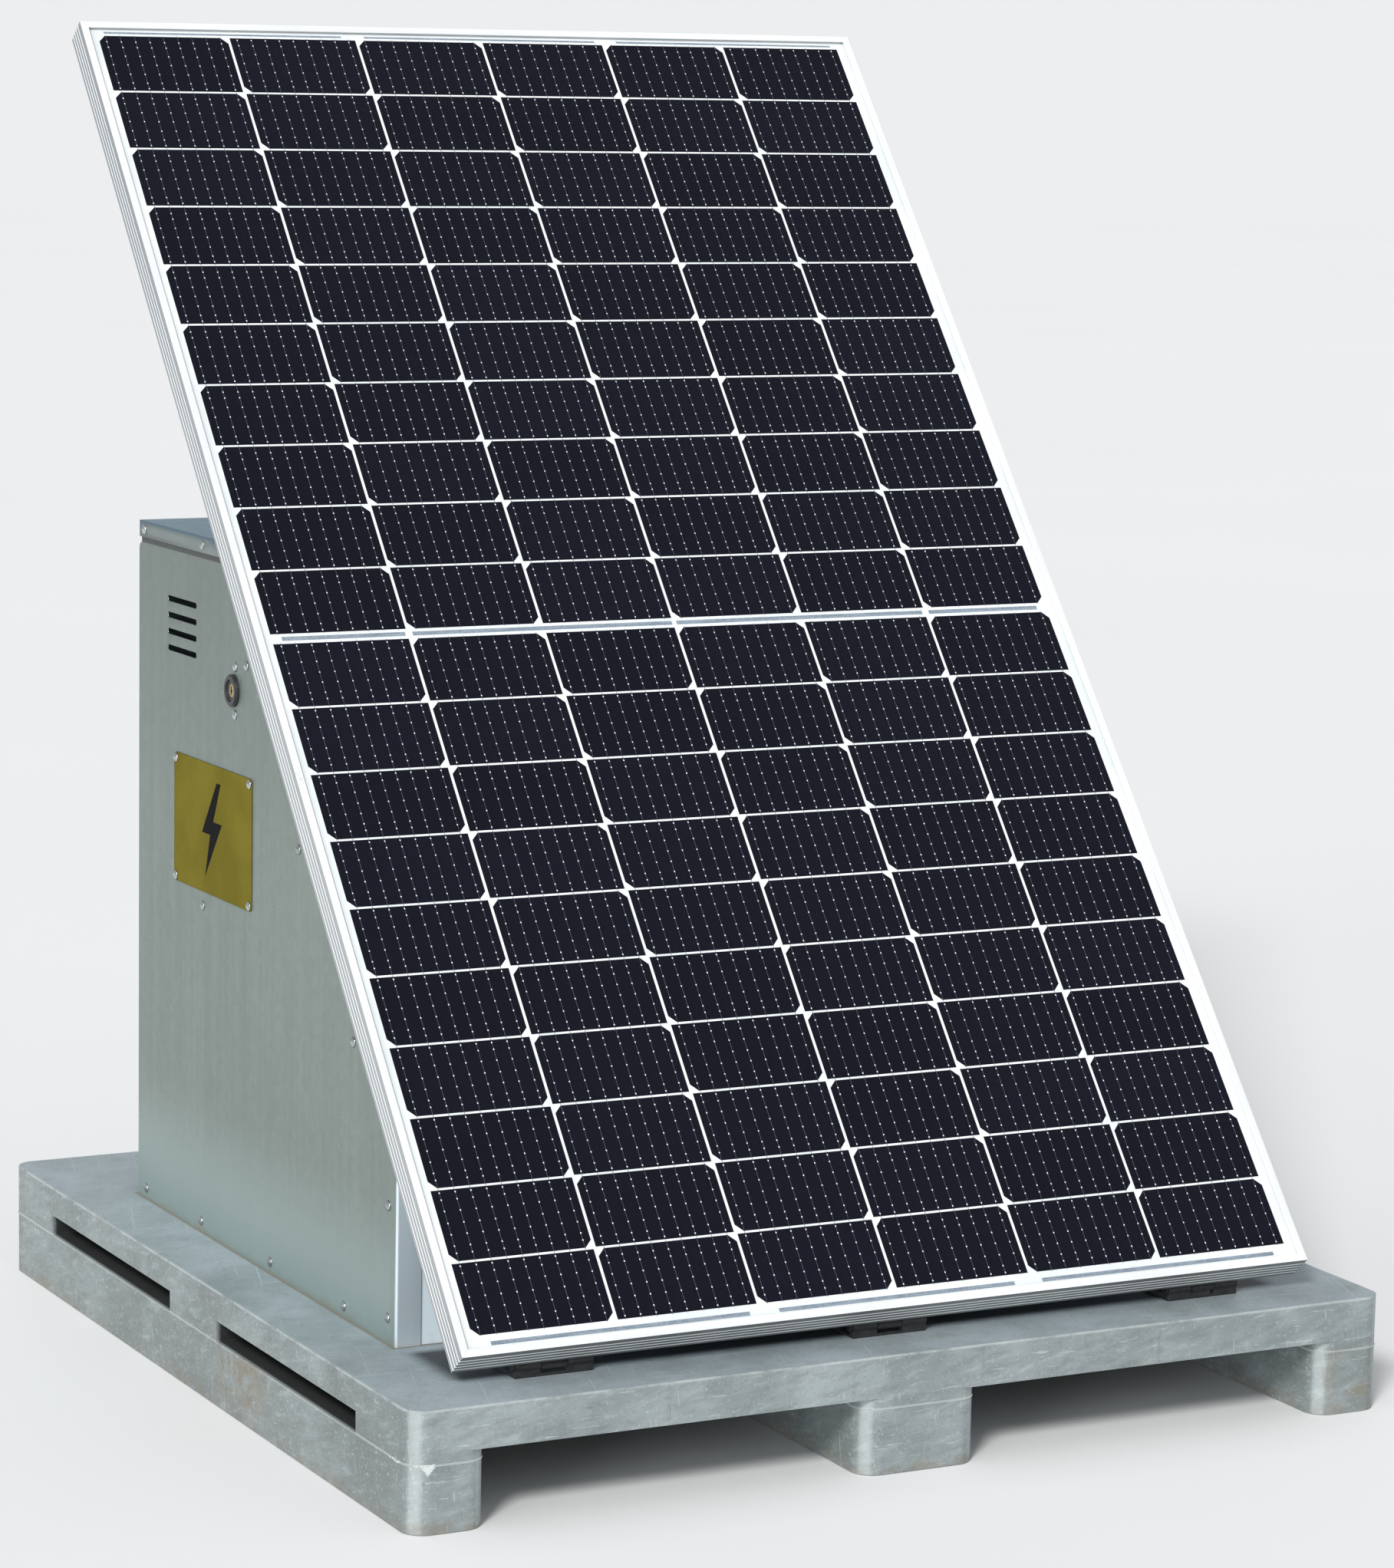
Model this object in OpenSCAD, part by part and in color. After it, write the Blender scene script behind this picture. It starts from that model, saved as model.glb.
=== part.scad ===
/* [Pallet] */
// Width of the ballast pallet, left to right
pallet_w = 1190; // [1140:5:1250]
// Depth of the ballast pallet, front to rear
pallet_d = 1200; // [1200:5:1260]
// Height of the pallet's runners below their necks
runner_h = 72; // [55:1:90]
// Height of the short necks between the runners and the deck slab
neck_h = 12; // [8:1:20]
// Thickness of the solid deck slab
slab_t = 46; // [36:1:60]
// Width of each outer runner
runner_w = 88; // [70:1:110]
// Width of the middle runner
middle_runner_w = 144; // [110:1:180]
// Radius of the pallet's upright corners
pallet_corner_r = 25; // [10:1:35]
// Length of each neck along the runner
neck_l = 140; // [100:5:180]

/* [Solar panel] */
// Length of the solar module up the slope
panel_l = 1755; // [1690:5:1760]
// Width of the solar module
panel_w = 1038; // [1030:1:1050]
// Height of the module's aluminium frame
frame_h = 35; // [32:1:40]
// Width of the frame's rear flange
frame_flange = 28; // [24:1:30]
// Angle of the closed panel above the horizontal
tilt = 50; // [48:0.5:52]
// How far the panel tips forward to open
panel_open = 28; // [20:1:29]

/* [Housing] */
// Width over the two side plates
housing_w = 1020; // [1010:1:1024]
// Thickness of the galvanised sheet
sheet = 2; // [1.5:0.5:2.5]
// Place of the vertical front face
front_y = -366; // [-372:1:-355]
// Place of the side plates' rear edge
plate_rear_y = 394; // [385:1:405]
// Height of the lid's top above the ground
top_z = 938; // [930:1:945]
// Gap between the sloping flanges and the back of the closed panel
seal_gap = 6; // [4:1:8]
// Width of the folded flanges on the front and sloping edges
flange_w = 30; // [25:1:34]
// Outer radius of the sheet metal folds
fold_r = 4; // [3:0.5:5]

/* [Lock] */
// Place of the lock's axis along the depth, behind the pallet's middle
lock_y = 98; // [90:1:105]
// Height of the lock's axis
lock_z = 773; // [765:1:780]
// Radius of the lock's outer ring
lock_ring_r = 18.5; // [16:0.5:21]
// Radius of the turning cylinder
lock_core_r = 8; // [7:0.5:9]

/* [Battery] */
// Length of the battery
battery_l = 522; // [480:1:530]
// Width of the battery
battery_w = 240; // [200:1:250]
// Height of the battery's case with its lid
battery_h = 220; // [200:1:225]

/* [Energizer] */
// Width of the energizer unit
unit_w = 320; // [280:1:330]
// Height of the energizer unit
unit_h = 280; // [250:1:300]
// Depth of the energizer unit
unit_d = 120; // [90:1:130]

/* [Hidden] */
$fn = 48;

// Clearances: a loose hole round a fastener, and a running fit round a turning shaft
hole_gap = 0.3;
run_gap = 0.06;

// Pallet levels
slab_z = runner_h + neck_h;
deck_z = slab_z + slab_t;
side_runner_x = (pallet_w - runner_w) / 2;
neck_y = (pallet_d - neck_l) / 2;
slot_l = neck_y - neck_l;
slot_rise = 12;

// Bolts that hold the housing's tray to the pallet
tray_bolt_x = 420;
tray_bolt_y = [-250, 20, 290];
tray_bolt_r = 5;
tray_bolt_l = 55;

// The panel's lower rear edge, and the slope's directions
panel_foot_y = -530;
panel_foot_z = deck_z + 16;
sin_t = sin(tilt);
cos_t = cos(tilt);
// Height of the slope plane over a place y, and place y of the slope plane at a height z;
// h is the distance in front of the panel's rear plane
function slope_z(y, h) = panel_foot_z + (y - panel_foot_y + h * sin_t) * tan(tilt) + h * cos_t;
function slope_u(y, z) = (y - panel_foot_y) * cos_t + (z - panel_foot_z) * sin_t;
function slope_h(y, z) = (z - panel_foot_z) * cos_t - (y - panel_foot_y) * sin_t;
function world_y(u, h) = panel_foot_y + u * cos_t - h * sin_t;
function world_z(u, h) = panel_foot_z + u * sin_t + h * cos_t;

// Housing
half_w = housing_w / 2;
inner_x = half_w - sheet;
wall_front_y = front_y + sheet;
rear_wall_y = plate_rear_y - 8;
rear_inner_y = rear_wall_y - sheet;
fold_z = slope_z(front_y, -seal_gap);
fold_u = slope_u(front_y, fold_z);
top_y = panel_foot_y + (top_z - panel_foot_z) / tan(tilt) + seal_gap / sin_t;
top_u = slope_u(top_y, top_z);
relief = 3;
tray_wall_h = 40;
lid_skirt = 19;
shoulder_z = top_z - lid_skirt - 7;

// Rivets in the side plates, as [y, z]
slope_rivet_u = [404, 645, 884];
slope_rivet_h = -28;
base_rivet_y = [367, 191, -19, -228];
base_rivet_z = deck_z + 12;
edge_rivets = [[front_y + 20, deck_z + 150], [front_y + 20, deck_z + 28]];
lid_rivets = [[372, top_z - 10], [190, top_z - 10]];
lock_rivets = [[lock_y - 5, lock_z + 27], [lock_y - 5, lock_z - 27]];
tie_rivet = [189, 513];
common_rivets = concat(
    [for (u = slope_rivet_u) [world_y(u, slope_rivet_h), world_z(u, slope_rivet_h)]],
    [for (y = base_rivet_y) [y, base_rivet_z]],
    edge_rivets,
    lid_rivets
);
rivet_r = 2.4;
rivet_head_r = 6;
rivet_head_h = 3;

// Warning sign on the left plate
sign_w = 236;
sign_h = 150;
sign_t = 1.5;
sign_y = 158;
sign_z = 605;
sign_rivets = [
    for (a = [-1, 1], b = [-1, 1]) [sign_y + a * (sign_w / 2 - 6), sign_z + b * (sign_h / 2 - 6)]
];

// Vent slots
vent_y = 257;
vent_z = 827;
vent_l = 84;
vent_w = 7;
vent_pitch = 19;
vent_count = 4;

// Lock
cam_l = 40;
cam_w = 16;
cam_t = 3;
cam_x = -half_w + flange_w + 10;
barrel_r = 11;
lock_u = slope_u(lock_y, lock_z);
lock_h = slope_h(lock_y, lock_z);

// Hinges under the panel's lower edge
pivot_u = 2;
pivot_h = -8;
pivot_y = world_y(pivot_u, pivot_h);
pivot_z = world_z(pivot_u, pivot_h);
hinge_x = [-400, 0, 400];
hinge_w = 90;
knuckle_r = 6;
pin_r = 3;
knuckle_w = 30;
leaf_t = 3;
hinge_screw_dx = 30;
hinge_screw_r = 3.5;
hinge_screw_l = 38;
hinge_screw_y = pivot_y + 38;
hinge_bolt_u = 18;

// Stay: the arm turns on the panel and drops over a stud on the right side plate
stay_u = 880;
stay_h = 13;
stay_x = 466;
stay_t = 4;
stay_w = 20;
stay_end = 10;
stay_pin_r = 4;
stud_y = 100;
stud_z = 840;
stud_r = 4;
function turned_y(y, z, a) = pivot_y + (y - pivot_y) * cos(a) - (z - pivot_z) * sin(a);
function turned_z(y, z, a) = pivot_z + (y - pivot_y) * sin(a) + (z - pivot_z) * cos(a);
stay_y0 = world_y(stay_u, stay_h);
stay_z0 = world_z(stay_u, stay_h);
stay_y1 = turned_y(stay_y0, stay_z0, panel_open);
stay_z1 = turned_z(stay_y0, stay_z0, panel_open);
stay_l = norm([stud_y - stay_y1, stud_z - stay_z1]);

// Frame profile of the module
wall = 2;
lip = 9;
shelf_h = 27.5;
glass_t = 3.2;
laminate_t = 1.3;
frame_clear = 0.3;
rib_count = 4;
rib_depth = 0.7;
junction_x = 340;
junction_h = 14;

// Equipment in the housing
floor_z = deck_z + sheet;
board_t = 9;
board_w = 720;
board_h = 360;
board_z = 440;
standoff_l = 23;
board_y = rear_inner_y - standoff_l - board_t;
unit_x = -180;
unit_z = 480;
unit_back_d = 20;
unit_front_y = board_y - unit_d;
unit_wall = 3;
case_r = 18;
terminal_x = [unit_x - 110, unit_x, unit_x + 110];
terminal_z = unit_z + 45;
post_r = 4;
knob_r = 14;
knob_l = 22;
switch_z = unit_z + 140;
switch_r = 22;
lens_z = unit_z + 225;
controller_x = 150;
controller_w = 180;
controller_z = 540;
controller_h = 120;
controller_d = 50;
controller_y = board_y - controller_d;
button_r = 7;
button_dx = 45;
button_z = controller_z + 30;
window_w = 90;
window_h = 46;
window_z = controller_z + 82;
battery_x = 91;
battery_y = 180;
battery_lid_h = 20;
battery_top = floor_z + battery_h;
battery_post_x = 200;
battery_post_y = battery_y - 60;
battery_post_h = 14;
handle_l = 60;
handle_w = 140;
handle_z = battery_top - battery_lid_h / 2;
handle_pin_r = 3;
handle_out = 8;
handle_ear_t = 6;
handle_ear_y = handle_w / 2 + 5;
clamp_rod_r = 3;
clamp_reach = battery_w / 2 + 9;
gland_x = [-300, -60];
gland_z = 230;
gland_bore_r = 3.75;
gland_thread_r = 8;

// Flexible leads: start, two control points and end of each smooth run
lead_r = 4;
battery_lead_left = [
    [battery_x - battery_post_x, battery_post_y, battery_top + battery_post_h],
    [battery_x - battery_post_x, battery_post_y, 480],
    [110, 327, 420],
    [110, 327, controller_z]
];
battery_lead_right = [
    [battery_x + battery_post_x, battery_post_y, battery_top + battery_post_h],
    [battery_x + battery_post_x, battery_post_y, 480],
    [190, 327, 420],
    [190, 327, controller_z]
];
supply_lead = [
    [150, 327, controller_z],
    [150, 327, 470],
    [-60, 300, 420],
    [-60, 300, unit_z]
];

// ---------------------------------------------------------------- helpers

module rounded_rect(w, d, r) {
    square([w - 2 * r, d], center = true);
    square([w, d - 2 * r], center = true);
    for (a = [-1, 1], b = [-1, 1])
        translate([a * (w / 2 - r), b * (d / 2 - r)])
            circle(r);
}

// A solid whose outline is drawn in Y and Z and whose thickness runs along +X
module slab_x(x, thickness) {
    translate([x, 0, 0])
        rotate([90, 0, 90])
            linear_extrude(thickness)
                children();
}

// A solid whose outline is drawn in X and Z and whose thickness runs along +Y
module slab_y(y, thickness) {
    translate([0, y + thickness, 0])
        rotate([90, 0, 0])
            linear_extrude(thickness)
                children();
}

module rod_x(x, y, z, r, l, sides = $fn) {
    translate([x, y, z])
        rotate([0, 90, 0])
            cylinder(r = r, h = l, $fn = sides);
}

module rod_y(x, y, z, r, l, sides = $fn) {
    translate([x, y, z])
        rotate([-90, 0, 0])
            cylinder(r = r, h = l, $fn = sides);
}

// Children drawn flat, X across, Y up the slope and Z out of the panel's face
module on_slope() {
    translate([0, panel_foot_y, panel_foot_z])
        rotate([tilt, 0, 0])
            children();
}

// Section of a folded sheet: one leg along X, one along Y, round outside corner at the origin
module fold_profile(leg_x, leg_y) {
    translate([fold_r, 0])
        square([leg_x - fold_r, sheet]);
    translate([0, fold_r])
        square([sheet, leg_y - fold_r]);
    intersection() {
        translate([fold_r, fold_r])
            difference() {
                circle(fold_r);
                circle(fold_r - sheet);
            }
        square(fold_r);
    }
}

function mix(a, b, t) = a + (b - a) * t;
function curve_point(p, t) = let (
    a = mix(p[0], p[1], t),
    b = mix(p[1], p[2], t),
    c = mix(p[2], p[3], t)
) mix(mix(a, b, t), mix(b, c, t), t);
function unit(v) = v / norm(v);
// The tangent at t, and a ring of points square to it
function curve_dir(p, t) = unit(curve_point(p, t + 0.01) - curve_point(p, t - 0.01));
function ring(c, dir, r, sides) = let (
    side = unit(cross(dir, [0.3, 0.9, 0.3])),
    up = cross(dir, side)
) [for (i = [0:sides - 1]) c + r * (cos(i * 360 / sides) * side + sin(i * 360 / sides) * up)];

module lead(p, r, rings = 14, sides = 10) {
    points = [
        for (k = [0:rings]) let (t = k / rings)
            each ring(curve_point(p, t), curve_dir(p, min(max(t, 0.01), 0.99)), r, sides)
    ];
    walls = [
        for (k = [0:rings - 1], i = [0:sides - 1]) let (j = (i + 1) % sides, a = k * sides, b = a + sides)
            [a + i, b + i, b + j, a + j]
    ];
    start_cap = [[for (i = [0:sides - 1]) i]];
    end_cap = [[for (i = [0:sides - 1]) (rings + 1) * sides - 1 - i]];
    polyhedron(points, concat(start_cap, walls, end_cap), convexity = 4);
}

// Holes along X through both sides of the housing
module side_holes(points, r) {
    for (p = points)
        rod_x(-half_w - 5, p[0], p[1], r, housing_w + 10);
}

// Holes along X through the left side only
module left_holes(points, r) {
    for (p = points)
        rod_x(-half_w - 5, p[0], p[1], r, 40);
}

module mirrored_x() {
    children();
    mirror([1, 0, 0])
        children();
}

// ---------------------------------------------------------------- pallet

module runner_outline(x, w) {
    translate([x, 0])
        rounded_rect(w, pallet_d, pallet_corner_r);
}

// A runner with the three short necks that carry the deck
module runner(x, w) {
    color([0.53, 0.57, 0.58]) {
        linear_extrude(runner_h)
            runner_outline(x, w);
        linear_extrude(slab_z)
            intersection() {
                runner_outline(x, w);
                neck_bands();
            }
    }
}

module neck_bands() {
    for (y = [-neck_y, 0, neck_y])
        translate([-pallet_w / 2, y - neck_l / 2])
            square([pallet_w, neck_l]);
}

// The side slots reach up into the slab's edge
module slot_recesses() {
    recess_w = runner_w + 17;
    mirrored_x()
        for (side = [-1, 1])
            translate([
                pallet_w / 2 - recess_w,
                side * (neck_l + slot_l) / 2 - slot_l / 2,
                slab_z - 1
            ])
                cube([recess_w + 10, slot_l, slot_rise + 1]);
}

module deck_bores() {
    for (x = [-tray_bolt_x, tray_bolt_x], y = tray_bolt_y)
        translate([x, y, deck_z - tray_bolt_l])
            cylinder(r = tray_bolt_r + hole_gap, h = tray_bolt_l + 1);
    for (x = hinge_x, dx = [-hinge_screw_dx, hinge_screw_dx])
        translate([x + dx, hinge_screw_y, deck_z - hinge_screw_l])
            cylinder(r = hinge_screw_r + hole_gap, h = hinge_screw_l + 1);
}

module pallet_deck() {
    color([0.57, 0.61, 0.62])
        difference() {
            translate([0, 0, slab_z])
                linear_extrude(slab_t)
                    rounded_rect(pallet_w, pallet_d, pallet_corner_r);
            slot_recesses();
            deck_bores();
        }
}

module pallet_runner_left() {
    runner(-side_runner_x, runner_w);
}

module pallet_runner_middle() {
    runner(0, middle_runner_w);
}

module pallet_runner_right() {
    runner(side_runner_x, runner_w);
}

// ---------------------------------------------------------------- housing

module floor_tray() {
    tray_d = rear_inner_y - wall_front_y - sheet;
    color([0.66, 0.7, 0.7])
        difference() {
            translate([-inner_x, wall_front_y + sheet, deck_z])
                cube([2 * inner_x, tray_d, tray_wall_h]);
            translate([-inner_x + sheet, wall_front_y + 2 * sheet, floor_z])
                cube([2 * (inner_x - sheet), tray_d - 2 * sheet, tray_wall_h]);
            side_holes(common_rivets, rivet_r + hole_gap);
            for (x = [-tray_bolt_x, tray_bolt_x], y = tray_bolt_y)
                translate([x, y, deck_z - 1])
                    cylinder(r = tray_bolt_r + hole_gap, h = 10);
            for (y = [-1, 1])
                translate([battery_x, battery_y + y * clamp_reach, deck_z - 1])
                    cylinder(r = clamp_rod_r + hole_gap, h = 10);
        }
}

module tray_anchor_bolts() {
    color("silver")
        for (x = [-tray_bolt_x, tray_bolt_x], y = tray_bolt_y)
            translate([x, y, floor_z]) {
                cylinder(r = 11, h = 2);
                translate([0, 0, 2])
                    cylinder(r = 9, h = 6.4, $fn = 6);
                translate([0, 0, -tray_bolt_l + sheet + 3])
                    cylinder(r = tray_bolt_r, h = tray_bolt_l - sheet - 3);
            }
}

// Outline of a side plate in Y and Z, short of the folds on its front and sloping edges
module plate_outline() {
    h = -seal_gap - fold_r;
    step = 8;
    polygon([
        [front_y + fold_r, deck_z],
        [plate_rear_y, deck_z],
        [plate_rear_y, shoulder_z - step],
        [plate_rear_y - step, shoulder_z],
        [plate_rear_y - step, top_z - sheet],
        [panel_foot_y + (top_z - sheet - panel_foot_z) / tan(tilt) - h / sin_t, top_z - sheet],
        [front_y + fold_r, slope_z(front_y + fold_r, h)]
    ]);
    translate([plate_rear_y - step, shoulder_z - step])
        circle(step);
}

module vent_slots() {
    for (k = [0:vent_count - 1])
        translate([vent_y, vent_z + (k - (vent_count - 1) / 2) * vent_pitch]) {
            square([vent_l, vent_w], center = true);
            for (side = [-1, 1])
                translate([side * vent_l / 2, 0])
                    circle(vent_w / 2);
        }
}

// The left plate with its two folded edges and the relief slit between them
module side_plate_blank() {
    slab_x(-half_w, sheet)
        difference() {
            plate_outline();
            vent_slots();
            translate([front_y, fold_z - relief / 2])
                square([12, relief / 2]);
        }
    translate([-half_w, front_y, deck_z])
        linear_extrude(fold_z - relief - deck_z)
            fold_profile(flange_w, 14);
    on_slope()
        translate([-half_w, fold_u + relief, -seal_gap])
            rotate([-90, 0, 0])
                linear_extrude(top_u - 4 - fold_u - relief)
                    fold_profile(flange_w, 14);
}

module side_plate_left() {
    color([0.56, 0.6, 0.58])
        difference() {
            side_plate_blank();
            side_holes(common_rivets, rivet_r + hole_gap);
            left_holes(concat(lock_rivets, sign_rivets, [tie_rivet]), rivet_r + hole_gap);
            rod_x(-half_w - 5, lock_y, lock_z, barrel_r + hole_gap, 20);
        }
}

module side_plate_right() {
    color([0.56, 0.6, 0.58])
        difference() {
            mirror([1, 0, 0])
                side_plate_blank();
            side_holes(common_rivets, rivet_r + hole_gap);
            rod_x(half_w - 10, stud_y, stud_z, stud_r + hole_gap, 20);
        }
}

// Plan of the front panel, its corners rounded to sit in the side plates' folds
module front_plan(depth) {
    bend = fold_r - sheet;
    translate([-inner_x + bend, wall_front_y])
        square([2 * (inner_x - bend), depth]);
    translate([-inner_x, wall_front_y + bend])
        square([2 * inner_x, depth - bend]);
    for (side = [-1, 1])
        translate([side * (inner_x - bend), wall_front_y + bend])
            circle(bend);
}

module front_panel() {
    panel_top = fold_z - 10;
    return_w = 30;
    low = deck_z + tray_wall_h + 1;
    color([0.6, 0.66, 0.68])
        difference() {
            translate([0, 0, deck_z])
                linear_extrude(panel_top - deck_z)
                    front_plan(return_w);
            translate([-inner_x + sheet, wall_front_y + sheet, deck_z - 1])
                cube([2 * (inner_x - sheet), return_w, panel_top - sheet - deck_z + 1]);
            translate([-inner_x - 1, wall_front_y + sheet, deck_z - 1])
                cube([2 * inner_x + 2, return_w, low - deck_z + 1]);
            side_holes(common_rivets, rivet_r + hole_gap);
        }
}

module rear_panel() {
    color([0.58, 0.62, 0.6])
        difference() {
            translate([-inner_x, rear_inner_y, deck_z])
                cube([2 * inner_x, sheet, top_z - sheet - deck_z]);
            for (x = gland_x)
                rod_y(x, rear_inner_y - 5, gland_z, gland_thread_r + hole_gap, 20);
        }
}

module top_lid() {
    lid_rear = rear_wall_y + sheet;
    color([0.62, 0.66, 0.67])
        difference() {
            translate([-half_w - sheet, top_y - 40, top_z - lid_skirt])
                cube([housing_w + 2 * sheet, lid_rear - top_y + 40, lid_skirt]);
            translate([-half_w, top_y - 60, top_z - lid_skirt - 1])
                cube([housing_w, rear_wall_y - top_y + 60, lid_skirt + 1 - sheet]);
            on_slope()
                translate([-half_w - 10, 0, -seal_gap])
                    cube([housing_w + 20, panel_l, 200]);
            side_holes(lid_rivets, rivet_r + hole_gap);
        }
}

module top_cross_rail() {
    rail_w = 40;
    color([0.6, 0.64, 0.65])
        on_slope() {
            translate([-half_w + flange_w, top_u - rail_w - 10, -seal_gap - sheet])
                cube([housing_w - 2 * flange_w, rail_w, sheet]);
            translate([-inner_x + fold_r, top_u - rail_w - 10, -seal_gap - sheet - 30])
                cube([2 * (inner_x - fold_r), sheet, 30]);
        }
}

module slope_angle() {
    leg = 28;
    first_u = 320;
    last_u = 915;
    on_slope() {
        translate([-inner_x, first_u, -seal_gap - sheet - leg])
            cube([sheet, last_u - first_u, leg - fold_r]);
        translate([-inner_x, first_u, -seal_gap - sheet - fold_r - sheet])
            cube([leg, last_u - first_u, sheet]);
    }
}

module rear_angle() {
    leg = 25;
    low = deck_z + tray_wall_h + 1;
    high = top_z - 25;
    translate([-inner_x, rear_inner_y - leg, low])
        cube([sheet, leg, high - low]);
    translate([-inner_x, rear_inner_y - sheet, low])
        cube([leg, sheet, high - low]);
}

// Angles riveted inside the sloping and rear edges
module corner_angles() {
    color([0.6, 0.64, 0.65])
        difference() {
            mirrored_x() {
                slope_angle();
                rear_angle();
            }
            side_holes(common_rivets, rivet_r + hole_gap);
        }
}

module edge_seals() {
    color([0.08, 0.08, 0.09])
        on_slope()
            mirrored_x()
                translate([-half_w + 10, fold_u + 8, -seal_gap])
                    cube([14, top_u - fold_u - 20, seal_gap - 0.5]);
}

// Blind rivet along X with its dome towards -X
module rivet(x, p, grip) {
    color("silver")
        translate([x, p[0], p[1]])
            rotate([0, 90, 0]) {
                cylinder(r = rivet_r, h = grip);
                intersection() {
                    translate([0, 0, (pow(rivet_head_r, 2) - pow(rivet_head_h, 2)) / (2 * rivet_head_h)])
                        sphere((pow(rivet_head_r, 2) + pow(rivet_head_h, 2)) / (2 * rivet_head_h));
                    translate([0, 0, -rivet_head_h])
                        cylinder(r = rivet_head_r, h = rivet_head_h);
                }
            }
}

module plate_rivets() {
    for (p = common_rivets)
        rivet(p[1] > top_z - lid_skirt ? -half_w - sheet : -half_w, p, 5);
}

module housing_rivets() {
    mirrored_x()
        plate_rivets();
    for (p = concat(lock_rivets, [tie_rivet]))
        rivet(-half_w, p, 5);
    for (p = sign_rivets)
        rivet(-half_w - sign_t, p, 4);
}

module sign_plate() {
    color([0.62, 0.54, 0.1])
        difference() {
            slab_x(-half_w - sign_t, sign_t)
                translate([sign_y, sign_z])
                    rounded_rect(sign_w, sign_h, 5);
            left_holes(sign_rivets, rivet_r + hole_gap);
        }
}

// ---------------------------------------------------------------- lock

module lock_housing() {
    ring_t = 5;
    barrel_l = cam_x + half_w - 4;
    color([0.12, 0.11, 0.11])
        difference() {
            union() {
                rod_x(-half_w - ring_t, lock_y, lock_z, lock_ring_r - 1.5, ring_t);
                rod_x(-half_w - ring_t + 1.5, lock_y, lock_z, lock_ring_r, ring_t - 1.5);
                rod_x(-half_w - 0.1, lock_y, lock_z, barrel_r, barrel_l);
            }
            rod_x(-half_w - ring_t - 1, lock_y, lock_z, lock_ring_r - 6, 3);
            rod_x(-half_w - ring_t - 1, lock_y, lock_z, lock_core_r + run_gap, 60);
        }
}

module lock_nut() {
    color("silver")
        difference() {
            rod_x(-inner_x + sheet, lock_y, lock_z, 17, 6, 6);
            rod_x(-inner_x, lock_y, lock_z, barrel_r + hole_gap, 20);
        }
}

module lock_backing_plate() {
    color([0.6, 0.64, 0.65])
        difference() {
            slab_x(-inner_x, sheet)
                translate([lock_y + 8, lock_z])
                    square([46, 76], center = true);
            left_holes(lock_rivets, rivet_r + hole_gap);
            rod_x(-half_w, lock_y, lock_z, barrel_r + hole_gap, 20);
        }
}

module lock_cylinder() {
    tail = 7;
    face_x = -half_w - 2.5;
    color([0.72, 0.6, 0.36])
        difference() {
            union() {
                rod_x(face_x, lock_y, lock_z, lock_core_r, cam_x - face_x);
                translate([cam_x - 1, lock_y - tail / 2, lock_z - tail / 2])
                    cube([cam_t + 2, tail, tail]);
            }
            translate([face_x - 1, lock_y - 0.7, lock_z - 4.5])
                cube([4, 1.4, 9]);
        }
}

// The cam points at the panel when the lock is open, and up the slope in front of the striker's lip
// when it is locked
module lock_cam() {
    hole = 7 + 2 * hole_gap;
    color("silver")
        translate([0, lock_y, lock_z])
            difference() {
                rotate([tilt, 0, 0])
                    slab_x(cam_x, cam_t) {
                        circle(cam_w / 2 + 3);
                        translate([-cam_w / 2, 0])
                            square([cam_w, cam_l]);
                    }
                translate([cam_x - 1, -hole / 2, -hole / 2])
                    cube([cam_t + 2, hole, hole]);
            }
}

// A plate on the panel's left frame that reaches back to a lip behind the cam
module lock_striker() {
    foot_x = -panel_w / 2 + wall + frame_clear;
    plate_x = cam_x + cam_t + 8;
    reach = 112;
    lip_h = lock_h - cam_w / 2 - 4;
    color("silver")
        on_slope() {
            translate([foot_x, lock_u + 5, sheet + frame_clear])
                cube([plate_x + 3 - foot_x, 45, 3]);
            translate([plate_x, lock_u + 5, -reach])
                cube([3, 45, reach + sheet + frame_clear + 3]);
            translate([plate_x - 15, lock_u + 13, lip_h - 3])
                cube([16, 22, 3]);
        }
}

// ---------------------------------------------------------------- hinges

module knuckle(x, w) {
    rod_x(x, pivot_y, pivot_z, knuckle_r, w);
}

module pin_bore(x) {
    rod_x(x - hinge_w, pivot_y, pivot_z, pin_r + run_gap, 2 * hinge_w);
}

module hinge_brackets() {
    side_w = (hinge_w - knuckle_w) / 2 - 0.5;
    color("silver")
        for (x = hinge_x)
            difference() {
                union() {
                    translate([x - hinge_w / 2, pivot_y - 4, deck_z])
                        cube([hinge_w, 54, leaf_t]);
                    for (start = [x - hinge_w / 2, x + hinge_w / 2 - side_w]) {
                        knuckle(start, side_w);
                        translate([start, pivot_y - 4, deck_z])
                            cube([side_w, 8, pivot_z - deck_z]);
                    }
                }
                pin_bore(x);
                for (dx = [-hinge_screw_dx, hinge_screw_dx])
                    translate([x + dx, hinge_screw_y, deck_z - 1])
                        cylinder(r = hinge_screw_r + hole_gap, h = 10);
            }
}

module hinge_pins() {
    color("silver")
        for (x = hinge_x) {
            rod_x(x - hinge_w / 2 - 1, pivot_y, pivot_z, pin_r, hinge_w + 2);
            rod_x(x - hinge_w / 2 - 3, pivot_y, pivot_z, pin_r + 2, 2);
        }
}

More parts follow.
